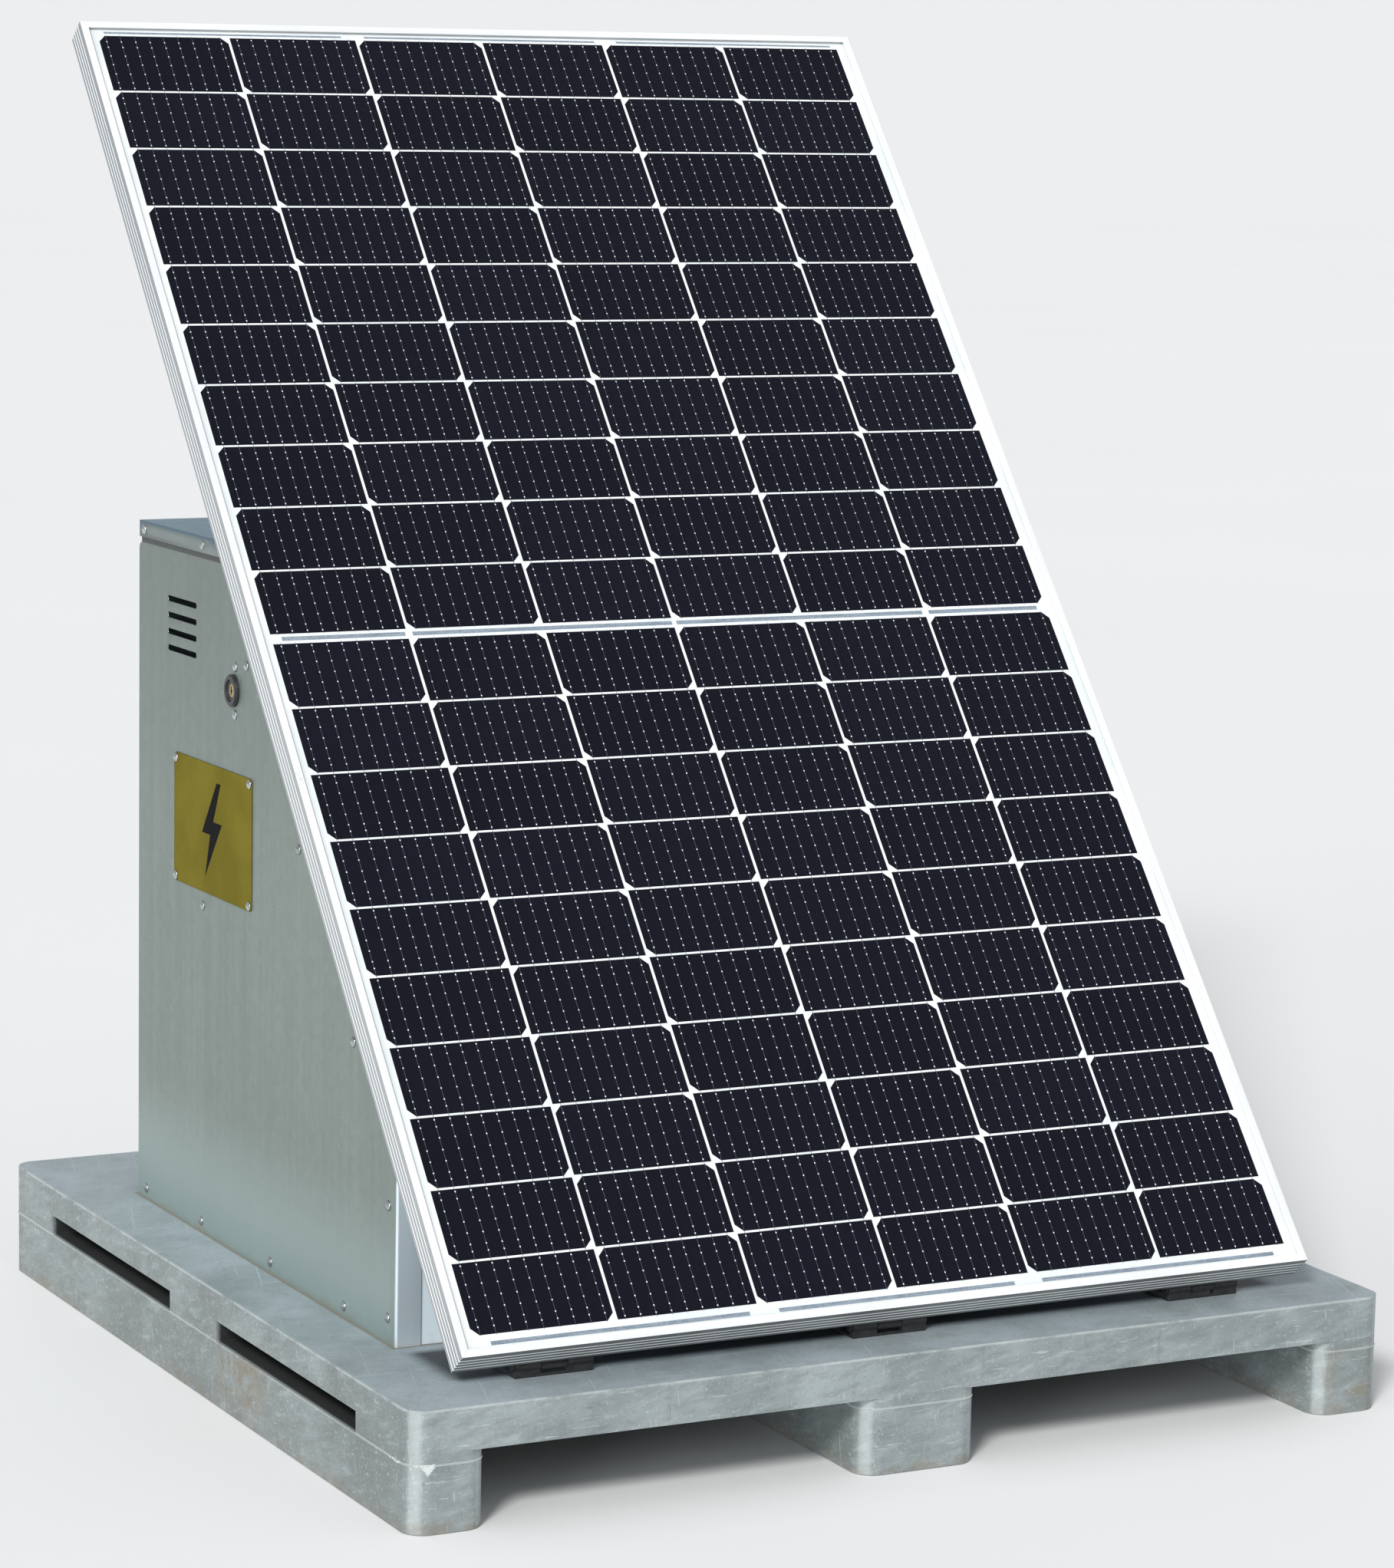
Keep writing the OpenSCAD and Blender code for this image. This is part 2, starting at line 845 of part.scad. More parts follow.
module hinge_leaves() {
    color("silver")
        for (x = hinge_x)
            difference() {
                union() {
                    knuckle(x - knuckle_w / 2 + 0.5, knuckle_w - 1);
                    on_slope() {
                        translate([x - knuckle_w / 2 + 0.5, pivot_u, -leaf_t])
                            cube([knuckle_w - 1, 8, leaf_t - frame_clear]);
                        translate([x - hinge_w / 2, pivot_u + knuckle_r + 1, -leaf_t])
                            cube([hinge_w, frame_flange - pivot_u - knuckle_r - 1, leaf_t - frame_clear]);
                    }
                }
                pin_bore(x);
                hinge_bolt_holes(x);
            }
}

module hinge_bolt_holes(x) {
    on_slope()
        for (dx = [-hinge_screw_dx, hinge_screw_dx])
            translate([x + dx, hinge_bolt_u, -10])
                cylinder(r = 3 + hole_gap, h = 20);
}

module hinge_screws() {
    color("silver")
        for (x = hinge_x, dx = [-hinge_screw_dx, hinge_screw_dx])
            translate([x + dx, hinge_screw_y, deck_z + leaf_t]) {
                cylinder(r = 6.5, h = 4.5, $fn = 6);
                translate([0, 0, -hinge_screw_l + 2])
                    cylinder(r = hinge_screw_r, h = hinge_screw_l - 2);
            }
}

module hinge_bolts() {
    color("silver")
        on_slope()
            for (x = hinge_x, dx = [-hinge_screw_dx, hinge_screw_dx])
                translate([x + dx, hinge_bolt_u, 0]) {
                    translate([0, 0, -leaf_t - 4])
                        cylinder(r = 5.5, h = 4, $fn = 6);
                    translate([0, 0, -leaf_t])
                        cylinder(r = 3, h = leaf_t + 8);
                    translate([0, 0, wall + frame_clear])
                        cylinder(r = 5.5, h = 5, $fn = 6);
                }
}

// ---------------------------------------------------------------- stay

// The stud enters from the arm's leading edge, then settles under the hook as the panel leans back
module stay_notch() {
    notch_r = stud_r + 1;
    hook_l = 12;
    translate([-stay_l - notch_r, -stay_w / 2 - 1])
        square([2 * notch_r, stay_w / 2 + 1]);
    hull()
        for (x = [-stay_l, -stay_l + hook_l])
            translate([x, 0])
                circle(notch_r);
}

module stay_arm() {
    color("silver")
        on_slope()
            translate([stay_x, stay_u, stay_h])
                rotate([90, 0, 90])
                    linear_extrude(stay_t)
                        difference() {
                            union() {
                                circle(stay_w / 2);
                                translate([-stay_l - stay_end, -stay_w / 2])
                                    square([stay_l + stay_end, stay_w]);
                            }
                            circle(stay_pin_r + run_gap);
                            stay_notch();
                        }
}

module stay_bracket() {
    ear_x = stay_x + stay_t + 1;
    ear_t = 3;
    foot_end = panel_w / 2 - wall - frame_clear;
    color("silver")
        on_slope() {
            translate([ear_x, stay_u - 20, wall + frame_clear])
                cube([foot_end - ear_x, 40, ear_t]);
            translate([ear_x, stay_u - 20, wall + frame_clear])
                cube([ear_t, 40, stay_h + 9]);
            translate([stay_x - 3, stay_u, stay_h])
                rotate([0, 90, 0])
                    cylinder(r = stay_pin_r, h = 6 + stay_t);
            translate([stay_x - 4, stay_u, stay_h])
                rotate([0, 90, 0])
                    cylinder(r = 7, h = 3.5);
        }
}

module stay_catch_stud() {
    color("silver") {
        rod_x(stay_x - 6, stud_y, stud_z, stud_r, half_w - stay_x + 8);
        rod_x(stay_x - 9, stud_y, stud_z, stud_r + 3, 3);
        rod_x(half_w, stud_y, stud_z, stud_r + 3, 3);
        rod_x(inner_x - 5, stud_y, stud_z, stud_r + 4, 5);
    }
}

// ---------------------------------------------------------------- solar panel

// Section of the module's frame: X inwards from the outer face, Y out of the panel
module frame_section() {
    groove_w = 2.4;
    difference() {
        union() {
            square([wall, frame_h]);
            square([frame_flange, wall]);
            translate([0, frame_h - 1.5])
                square([lip, 1.5]);
            translate([0, shelf_h])
                square([lip + 2, 1.5]);
        }
        for (k = [0:rib_count - 1])
            translate([-1, 5 + k * 6.5])
                square([1 + rib_depth, groove_w]);
    }
}

// A rail of the frame along +X from the origin, cut at 45 degrees at both ends
module frame_rail(l) {
    difference() {
        rotate([90, 0, 90])
            linear_extrude(l)
                frame_section();
        mitre_cut(0, 1);
        mitre_cut(l, -1);
    }
}

// Takes away the corner outside a 45 degree line that starts at the outer face
module mitre_cut(x, dir) {
    reach = 60;
    translate([x, 0, -1])
        linear_extrude(frame_h + 2)
            polygon([[-dir, -1], [dir * reach, reach], [-dir * reach, reach], [-dir * reach, -1]]);
}

module panel_frame_bottom() {
    color([0.85, 0.86, 0.88])
        difference() {
            on_slope()
                translate([-panel_w / 2, 0, 0])
                    frame_rail(panel_w);
            for (x = hinge_x)
                hinge_bolt_holes(x);
        }
}

module panel_frame_top() {
    color([0.85, 0.86, 0.88])
        on_slope()
            translate([panel_w / 2, panel_l, 0])
                rotate([0, 0, 180])
                    frame_rail(panel_w);
}

module panel_frame_left() {
    color([0.85, 0.86, 0.88])
        on_slope()
            translate([-panel_w / 2, panel_l, 0])
                rotate([0, 0, -90])
                    frame_rail(panel_l);
}

module panel_frame_right() {
    color([0.85, 0.86, 0.88])
        on_slope()
            translate([panel_w / 2, 0, 0])
                rotate([0, 0, 90])
                    frame_rail(panel_l);
}

module panel_sheet(h, thickness) {
    edge = wall + 0.5;
    on_slope()
        translate([-panel_w / 2 + edge, edge, h])
            cube([panel_w - 2 * edge, panel_l - 2 * edge, thickness]);
}

module panel_laminate() {
    color([0.1, 0.1, 0.16])
        panel_sheet(shelf_h + 1.5, laminate_t);
}

module panel_glass() {
    color([0.7, 0.78, 0.85, 0.4])
        panel_sheet(shelf_h + 1.5 + laminate_t, glass_t);
}

module panel_junction_boxes() {
    color([0.1, 0.1, 0.1])
        on_slope()
            for (x = [-junction_x, 0, junction_x])
                translate([x, panel_l / 2, shelf_h + 1.5 - junction_h])
                    linear_extrude(junction_h)
                        rounded_rect(90, 46, 5);
}

// Two short leads clipped across the back, each ending in its connector
module panel_leads() {
    connector_l = 48;
    connector_u = 640;
    lead_h = shelf_h - 6;
    color([0.08, 0.08, 0.08])
        on_slope()
            mirrored_x() {
                lead([
                    [junction_x, panel_l / 2 - 23, lead_h],
                    [junction_x, panel_l / 2 - 140, lead_h],
                    [60, connector_u + 130, lead_h],
                    [60, connector_u, lead_h]
                ], 3);
                translate([60, connector_u - connector_l, lead_h])
                    rotate([-90, 0, 0])
                        cylinder(r = 7, h = connector_l);
            }
}

// ---------------------------------------------------------------- equipment

module equipment_board() {
    color([0.75, 0.68, 0.55])
        translate([-board_w / 2, board_y, board_z])
            cube([board_w, board_t, board_h]);
}

module board_standoffs() {
    inset = 30;
    color("silver")
        for (side = [-1, 1], z = [board_z + inset, board_z + board_h - inset])
            rod_y(side * (board_w / 2 - inset), board_y + board_t, z, 8, standoff_l);
}

module unit_outline(inset) {
    translate([unit_x, unit_z + unit_h / 2])
        rounded_rect(unit_w - 2 * inset, unit_h - 2 * inset, case_r);
}

module energizer_back_case() {
    color([0.15, 0.15, 0.16])
        slab_y(board_y - unit_back_d, unit_back_d)
            unit_outline(0);
}

module energizer_front_case() {
    front_d = unit_d - unit_back_d;
    rim = 12;
    color([0.16, 0.36, 0.2])
        difference() {
            union() {
                slab_y(unit_front_y + rim, front_d - rim)
                    unit_outline(0);
                slab_y(unit_front_y, rim)
                    unit_outline(rim);
            }
            slab_y(unit_front_y + rim, front_d - rim + 1)
                unit_outline(rim + unit_wall);
            rod_y(unit_x, unit_front_y - 1, switch_z, 4 + run_gap, 40);
            rod_y(unit_x, unit_front_y - 1, lens_z, 8 + hole_gap, 40);
            for (x = terminal_x)
                rod_y(x, unit_front_y - 1, terminal_z, post_r + hole_gap, 40);
        }
}

module energizer_status_lens() {
    color([0.2, 0.8, 0.25])
        rod_y(unit_x, unit_front_y - 3, lens_z, 8, 12);
}

module energizer_switch_knob() {
    color([0.1, 0.1, 0.1]) {
        difference() {
            rod_y(unit_x, unit_front_y - 20, switch_z, switch_r, 19.5);
            for (side = [-1, 1])
                translate([unit_x + side * 17 - 10, unit_front_y - 21, switch_z - 30])
                    cube([20, 14, 60]);
        }
        rod_y(unit_x, unit_front_y - 1, switch_z, 4, 12);
    }
}

module energizer_studs() {
    color([0.72, 0.6, 0.36])
        for (x = terminal_x)
            rod_y(x, unit_front_y - 34, terminal_z, post_r, 44);
}

// A lobed hand nut that turns on its stud
module terminal_knob(x) {
    lobes = 8;
    difference() {
        rod_y(x, unit_front_y - 4 - knob_l, terminal_z, knob_r, knob_l);
        rod_y(x, unit_front_y - 50, terminal_z, post_r + run_gap, 60);
        for (k = [0:lobes - 1])
            rod_y(
                x + (knob_r + 1.5) * cos(k * 360 / lobes),
                unit_front_y - 50,
                terminal_z + (knob_r + 1.5) * sin(k * 360 / lobes),
                3.5,
                60
            );
    }
}

module fence_terminal_knob() {
    color([0.75, 0.12, 0.1])
        terminal_knob(terminal_x[0]);
}

module half_power_terminal_knob() {
    color([0.85, 0.7, 0.15])
        terminal_knob(terminal_x[1]);
}

module earth_terminal_knob() {
    color([0.12, 0.45, 0.18])
        terminal_knob(terminal_x[2]);
}

module controller_case() {
    color([0.2, 0.22, 0.26])
        difference() {
            slab_y(controller_y, controller_d)
                translate([controller_x, controller_z + controller_h / 2])
                    rounded_rect(controller_w, controller_h, 8);
            translate([controller_x - window_w / 2, controller_y - 1, window_z - window_h / 2])
                cube([window_w, 3, window_h]);
            for (side = [-1, 1])
                rod_y(controller_x + side * button_dx, controller_y - 1, button_z, button_r + hole_gap, 11);
        }
}

module controller_window() {
    color([0.5, 0.62, 0.55])
        translate([controller_x - window_w / 2, controller_y, window_z - window_h / 2])
            cube([window_w, 2, window_h]);
}

module button(side) {
    color([0.7, 0.7, 0.7])
        rod_y(controller_x + side * button_dx, controller_y - 3, button_z, button_r, 10);
}

module controller_up_button() {
    button(-1);
}

module controller_down_button() {
    button(1);
}

// ---------------------------------------------------------------- battery

module battery_case() {
    color([0.16, 0.16, 0.17])
        translate([battery_x, battery_y, floor_z])
            linear_extrude(battery_h - battery_lid_h)
                rounded_rect(battery_l, battery_w, 8);
}

module battery_lid() {
    color([0.3, 0.31, 0.33])
        difference() {
            union() {
                translate([battery_x, battery_y, battery_top - battery_lid_h])
                    linear_extrude(battery_lid_h)
                        rounded_rect(battery_l, battery_w, 8);
                for (a = [-1, 1], b = [-1, 1])
                    translate([
                        battery_x + a * (battery_l / 2 + handle_out / 2) - handle_out / 2 - 6,
                        battery_y + b * (handle_ear_y + handle_ear_t / 2) - handle_ear_t / 2,
                        handle_z - 7
                    ])
                        cube([handle_out + 12, handle_ear_t, 14]);
            }
            for (a = [-1, 1])
                rod_y(
                    battery_x + a * (battery_l / 2 + handle_out),
                    battery_y - 120,
                    handle_z,
                    handle_pin_r + run_gap,
                    240
                );
        }
}

module battery_posts() {
    color([0.55, 0.55, 0.58])
        for (side = [-1, 1])
            translate([battery_x + side * battery_post_x, battery_post_y, battery_top])
                cylinder(r = 8, h = battery_post_h);
}

// A folding carry handle at one end, hanging down
module battery_handle(side) {
    axis_x = battery_x + side * (battery_l / 2 + handle_out);
    arm = 7;
    color([0.1, 0.1, 0.1]) {
        for (b = [-1, 1]) {
            translate([axis_x - arm / 2, battery_y + b * (handle_w / 2) - arm / 2, handle_z - handle_l])
                cube([arm, arm, handle_l]);
            rod_y(axis_x, battery_y + b * handle_w / 2 - arm / 2, handle_z, arm / 2, arm);
            rod_y(
                axis_x,
                b > 0 ? battery_y + handle_w / 2 : battery_y - handle_ear_y - handle_ear_t,
                handle_z,
                handle_pin_r,
                handle_ear_y + handle_ear_t - handle_w / 2
            );
        }
        rod_y(axis_x, battery_y - handle_w / 2 - arm / 2, handle_z - handle_l, arm / 2 + 0.5, handle_w + arm);
    }
}

module battery_handle_left() {
    battery_handle(-1);
}

module battery_handle_right() {
    battery_handle(1);
}

// A bar over the battery, pulled down by two threaded rods
module battery_clamp() {
    bar_w = 30;
    bar_t = 4;
    color("silver") {
        difference() {
            translate([battery_x - bar_w / 2, battery_y - clamp_reach - 10, battery_top])
                cube([bar_w, 2 * clamp_reach + 20, bar_t]);
            for (side = [-1, 1])
                translate([battery_x, battery_y + side * clamp_reach, battery_top - 1])
                    cylinder(r = clamp_rod_r + hole_gap, h = 10);
        }
        for (side = [-1, 1])
            translate([battery_x, battery_y + side * clamp_reach, 0]) {
                translate([0, 0, deck_z])
                    cylinder(r = clamp_rod_r, h = battery_top - deck_z + bar_t + 8);
                translate([0, 0, floor_z])
                    cylinder(r = 6, h = 5, $fn = 6);
                translate([0, 0, battery_top + bar_t])
                    cylinder(r = 6, h = 5, $fn = 6);
            }
    }
}

// ---------------------------------------------------------------- wiring

module lead_glands() {
    color([0.12, 0.12, 0.12])
        for (x = gland_x) {
            difference() {
                union() {
                    rod_y(x, rear_inner_y - 12, gland_z, gland_thread_r, 13 + sheet);
                    rod_y(x, rear_wall_y, gland_z, 14, 6, 6);
                    rod_y(x, rear_wall_y + 6, gland_z, 11, 14);
                    rod_y(x, rear_wall_y + 20, gland_z, 8, 5);
                }
                rod_y(x, rear_inner_y - 20, gland_z, gland_bore_r, 70);
            }
            difference() {
                rod_y(x, rear_inner_y - 5, gland_z, 14, 5, 6);
                rod_y(x, rear_inner_y - 6, gland_z, gland_thread_r + hole_gap, 8);
            }
        }
}

module internal_leads() {
    color([0.5, 0.08, 0.07])
        lead(battery_lead_right, lead_r);
    color([0.07, 0.07, 0.08]) {
        lead(battery_lead_left, lead_r);
        lead(supply_lead, lead_r);
    }
}

pallet_deck();
pallet_runner_left();
pallet_runner_middle();
pallet_runner_right();
floor_tray();
tray_anchor_bolts();
side_plate_left();
side_plate_right();
front_panel();
rear_panel();
top_lid();
top_cross_rail();
corner_angles();
edge_seals();
housing_rivets();
sign_plate();
lock_housing();
lock_nut();
lock_backing_plate();
lock_cylinder();
lock_cam();
lock_striker();
hinge_brackets();
hinge_pins();
hinge_leaves();
hinge_screws();
hinge_bolts();
stay_arm();
stay_bracket();
stay_catch_stud();
equipment_board();
board_standoffs();
energizer_back_case();
energizer_front_case();
energizer_status_lens();
energizer_switch_knob();
energizer_studs();
fence_terminal_knob();
half_power_terminal_knob();
earth_terminal_knob();
controller_case();
controller_window();
controller_up_button();
controller_down_button();
battery_case();
battery_lid();
battery_posts();
battery_handle_left();
battery_handle_right();
battery_clamp();
lead_glands();
internal_leads();
panel_frame_left();
panel_frame_right();
panel_frame_top();
panel_frame_bottom();
panel_glass();
panel_laminate();
panel_junction_boxes();
panel_leads();
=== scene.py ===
"""A solar electric fence energizer station on a ballast pallet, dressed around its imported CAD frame."""

import math
import random

import bpy
from mathutils import Matrix, Vector


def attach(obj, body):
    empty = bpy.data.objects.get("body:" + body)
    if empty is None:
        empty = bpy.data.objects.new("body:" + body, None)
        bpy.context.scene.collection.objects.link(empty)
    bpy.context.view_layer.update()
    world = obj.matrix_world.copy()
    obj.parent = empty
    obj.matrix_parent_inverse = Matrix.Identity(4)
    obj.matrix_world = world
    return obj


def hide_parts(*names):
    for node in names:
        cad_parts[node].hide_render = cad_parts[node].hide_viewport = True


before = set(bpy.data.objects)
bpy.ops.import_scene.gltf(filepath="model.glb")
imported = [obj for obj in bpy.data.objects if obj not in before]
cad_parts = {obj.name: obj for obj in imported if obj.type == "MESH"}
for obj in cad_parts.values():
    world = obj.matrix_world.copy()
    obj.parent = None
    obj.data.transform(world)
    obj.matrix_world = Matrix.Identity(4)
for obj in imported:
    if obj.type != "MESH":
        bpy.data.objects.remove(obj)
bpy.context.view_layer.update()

MM = 0.001
TILT = math.radians(50.0)
PANEL_FOOT = Vector((0.0, -0.530, 0.146))
PANEL_LENGTH = 1755.0
SLOPE = Matrix.Translation(PANEL_FOOT) @ Matrix.Rotation(TILT, 4, "X")

# Places in the CAD model that the paint refers to, in metres
PALLET_HALF_W = 0.595
PALLET_HALF_D = 0.600
RUNNER_TOP = 0.072
DECK_TOP = 0.130
SLOT_TOP = 0.096
SLOT_NEAR_Y = 0.070
SLOT_FAR_Y = 0.460
HOUSING_HALF_W = 0.510
HOUSING_FRONT_Y = -0.366
HOUSING_REAR_Y = 0.394
LID_LINE_Z = 0.9155
PLATE_EDGE = -0.006
PANEL_HALF_W = 0.519
RIB_START = 0.0029
RIB_PITCH = 0.0065

# The same pallet for our own meshes, in millimetres
SIDE_X = 595.0
END_Y = 600.0
WELD_Z = 72.1


# ---------------------------------------------------------------- camera, light and floor

CAMERA_PLACE = Vector((-2.53272, -4.93889, 1.49892))
CAMERA_YAW = math.radians(-27.396)
CAMERA_PITCH = math.radians(8.65)
CAMERA_ROLL = math.radians(1.094)
CAMERA_LENS = 111.554


def make_camera():
    """The photo's view: yaw and pitch first, then a small roll."""
    flat = math.cos(CAMERA_PITCH)
    back = Vector((math.sin(CAMERA_YAW) * flat, -math.cos(CAMERA_YAW) * flat, math.sin(CAMERA_PITCH)))
    right = (-back).cross(Vector((0.0, 0.0, 1.0))).normalized()
    up = right.cross(-back)
    turned_right = right * math.cos(CAMERA_ROLL) + up * math.sin(CAMERA_ROLL)
    turned_up = up * math.cos(CAMERA_ROLL) - right * math.sin(CAMERA_ROLL)
    data = bpy.data.cameras.new("camera")
    data.lens = CAMERA_LENS
    data.sensor_width = 36.0
    data.clip_end = 100.0
    camera = bpy.data.objects.new("camera", data)
    columns = Matrix((turned_right, turned_up, back)).transposed()
    camera.matrix_world = Matrix.Translation(CAMERA_PLACE) @ columns.to_4x4()
    bpy.context.scene.collection.objects.link(camera)
    bpy.context.scene.camera = camera


def sun_light(name, towards, strength, angle, colour):
    """A far, soft lamp. towards is the way from the object to the lamp."""
    data = bpy.data.lights.new(name, "SUN")
    data.energy = strength
    data.angle = math.radians(angle)
    data.color = colour
    lamp = bpy.data.objects.new(name, data)
    lamp.rotation_euler = Vector(towards).to_track_quat("Z", "Y").to_euler()
    bpy.context.scene.collection.objects.link(lamp)


def make_world():
    """Soft even light; the camera itself sees a backdrop of the floor's tone, so no horizon shows."""
    world = bpy.data.worlds.new("studio")
    bpy.context.scene.world = world
    world.use_nodes = True
    tree = world.node_tree
    background = tree.nodes["Background"]
    seen = tree.nodes.new("ShaderNodeLightPath").outputs["Is Camera Ray"]
    tint = tree.nodes.new("ShaderNodeMix")
    tint.data_type = "RGBA"
    tint.inputs[6].default_value = (0.517, 0.531, 0.55, 1.0)
    tint.inputs[7].default_value = (0.840, 0.854, 0.867, 1.0)
    tree.links.new(seen, tint.inputs[0])
    tree.links.new(tint.outputs[2], background.inputs["Color"])


def make_light():
    make_world()
    bpy.context.scene.view_settings.view_transform = "Standard"
    sun_light("key", (-0.58, -0.60, 0.58), 2.3, 12.0, (1.0, 0.985, 0.96))
    sun_light("left_fill", (-0.84, -0.53, 0.12), 0.95, 20.0, (0.93, 0.96, 1.0))


# ---------------------------------------------------------------- node materials


class Paint:
    """A procedural material. Texture places are the piece's own, in metres, so they travel with it."""

    def __init__(self, name):
        self.material = bpy.data.materials.new(name)
        self.material.use_nodes = True
        self.tree = self.material.node_tree
        self.tree.nodes.clear()
        self.place = self.node("TexCoord").outputs["Object"]
        axes = self.node("SeparateXYZ", {"Vector": self.place})
        self.x, self.y, self.z = (axes.outputs[a] for a in "XYZ")

    def node(self, kind, inputs=None, **settings):
        made = self.tree.nodes.new("ShaderNode" + kind)
        for key, value in settings.items():
            setattr(made, key, value)
        for key, value in (inputs or {}).items():
            if isinstance(value, bpy.types.NodeSocket):
                self.tree.links.new(value, made.inputs[key])
            else:
                made.inputs[key].default_value = value
        return made

    def math(self, operation, a, b=0.0):
        return self.node("Math", {0: a, 1: b}, operation=operation).outputs[0]

    def scaled(self, scale, turn=None):
        """The place, first turned and then stretched."""
        where = self.place
        if turn is not None:
            where = self.node("Mapping", {"Vector": where, "Rotation": turn}).outputs[0]
        return self.node("Mapping", {"Vector": where, "Scale": scale}).outputs[0]

    def facing(self):
        """Which way the surface looks, in the piece's own axes."""
        made = self.node("SeparateXYZ", {"Vector": self.node("TexCoord").outputs["Normal"]})
        return tuple(made.outputs[a] for a in "XYZ")

    def size(self, value):
        """value without its sign."""
        return self.math("ABSOLUTE", value)

    def on_slope(self):
        """The place in the panel's own axes: across, up the slope, and out of the panel."""
        run = self.math("ADD", self.y, -PANEL_FOOT.y)
        rise = self.math("ADD", self.z, -PANEL_FOOT.z)
        out = self.math("SUBTRACT", self.mul(rise, math.cos(TILT)), self.mul(run, math.sin(TILT)))
        return self.x, self.along_slope(run, rise), out

    def noise(self, scale, detail=4.0, rough=0.55, vector=None):
        where = self.place if vector is None else vector
        inputs = {"Vector": where, "Scale": scale, "Detail": detail, "Roughness": rough}
        return self.node("TexNoise", inputs).outputs["Fac"]

    def step(self, value, low, high):
        """Smoothly 0 below low and 1 above high, or the other way round when high is the lower."""
        if high < low:
            return self.math("SUBTRACT", 1.0, self.step(value, high, low))
        inputs = {"Value": value, "From Min": low, "From Max": high}
        return self.node("MapRange", inputs, interpolation_type="SMOOTHSTEP").outputs["Result"]

    def band(self, value, centre, half, soft):
        """1 within half of centre, fading out over soft."""
        away = self.size(self.math("SUBTRACT", value, centre))
        return self.step(away, half + soft, half)

    def along_slope(self, run, rise):
        """How far a step of run towards +Y and rise towards +Z leads up the panel."""
        return self.math("ADD", self.mul(run, math.cos(TILT)), self.mul(rise, math.sin(TILT)))

    def mul(self, *values):
        product = values[0]
        for value in values[1:]:
            product = self.math("MULTIPLY", product, value)
        return product

    def blend(self, a, b, share):
        """share of a and the rest of b, both plain numbers per place."""
        return self.math("ADD", self.mul(a, share), self.mul(b, 1.0 - share))

    def most(self, *values):
        top = values[0]
        for value in values[1:]:
            top = self.math("MAXIMUM", top, value)
        return top

    def mix(self, share, a, b):
        made = self.node("Mix", data_type="RGBA")
        for socket, value in ((made.inputs[0], share), (made.inputs[6], a), (made.inputs[7], b)):
            if isinstance(value, bpy.types.NodeSocket):
                self.tree.links.new(value, socket)
            elif isinstance(value, tuple):
                socket.default_value = (*value, 1.0)
            else:
                socket.default_value = value
        return made.outputs[2]

    def span(self, value, low, high):
        """value from 0 to 1, as a number from low to high."""
        return self.node("MapRange", {"Value": value, "To Min": low, "To Max": high}).outputs["Result"]

    def bump(self, height, distance, strength=1.0, under=None):
        inputs = {"Height": height, "Distance": distance, "Strength": strength}
        if under is not None:
            inputs["Normal"] = under
        return self.node("Bump", inputs).outputs["Normal"]

    def finish(self, colour, rough, normal=None, **constants):
        inputs = {"Base Color": (*colour, 1.0) if isinstance(colour, tuple) else colour, "Roughness": rough}
        if normal is not None:
            inputs["Normal"] = normal
        for key, value in constants.items():
            inputs[key.replace("_", " ")] = value
        shader = self.node("BsdfPrincipled", inputs)
        out = self.node("OutputMaterial")
        self.tree.links.new(shader.outputs[0], out.inputs["Surface"])
        return self.material


def fold_highlights(p, across):
    """1 on the side plates' folded front and sloping edges, where a highlight is painted."""
    past_slope = p.step(p.on_slope()[2], PLATE_EDGE - 0.006, PLATE_EDGE - 0.003)
    at_edge = p.most(p.step(p.y, HOUSING_FRONT_Y + 0.0065, HOUSING_FRONT_Y + 0.0035), past_slope)
    return p.mul(p.step(p.size(across), 0.4, 0.6), p.step(p.size(across), 0.9, 0.78), at_edge)


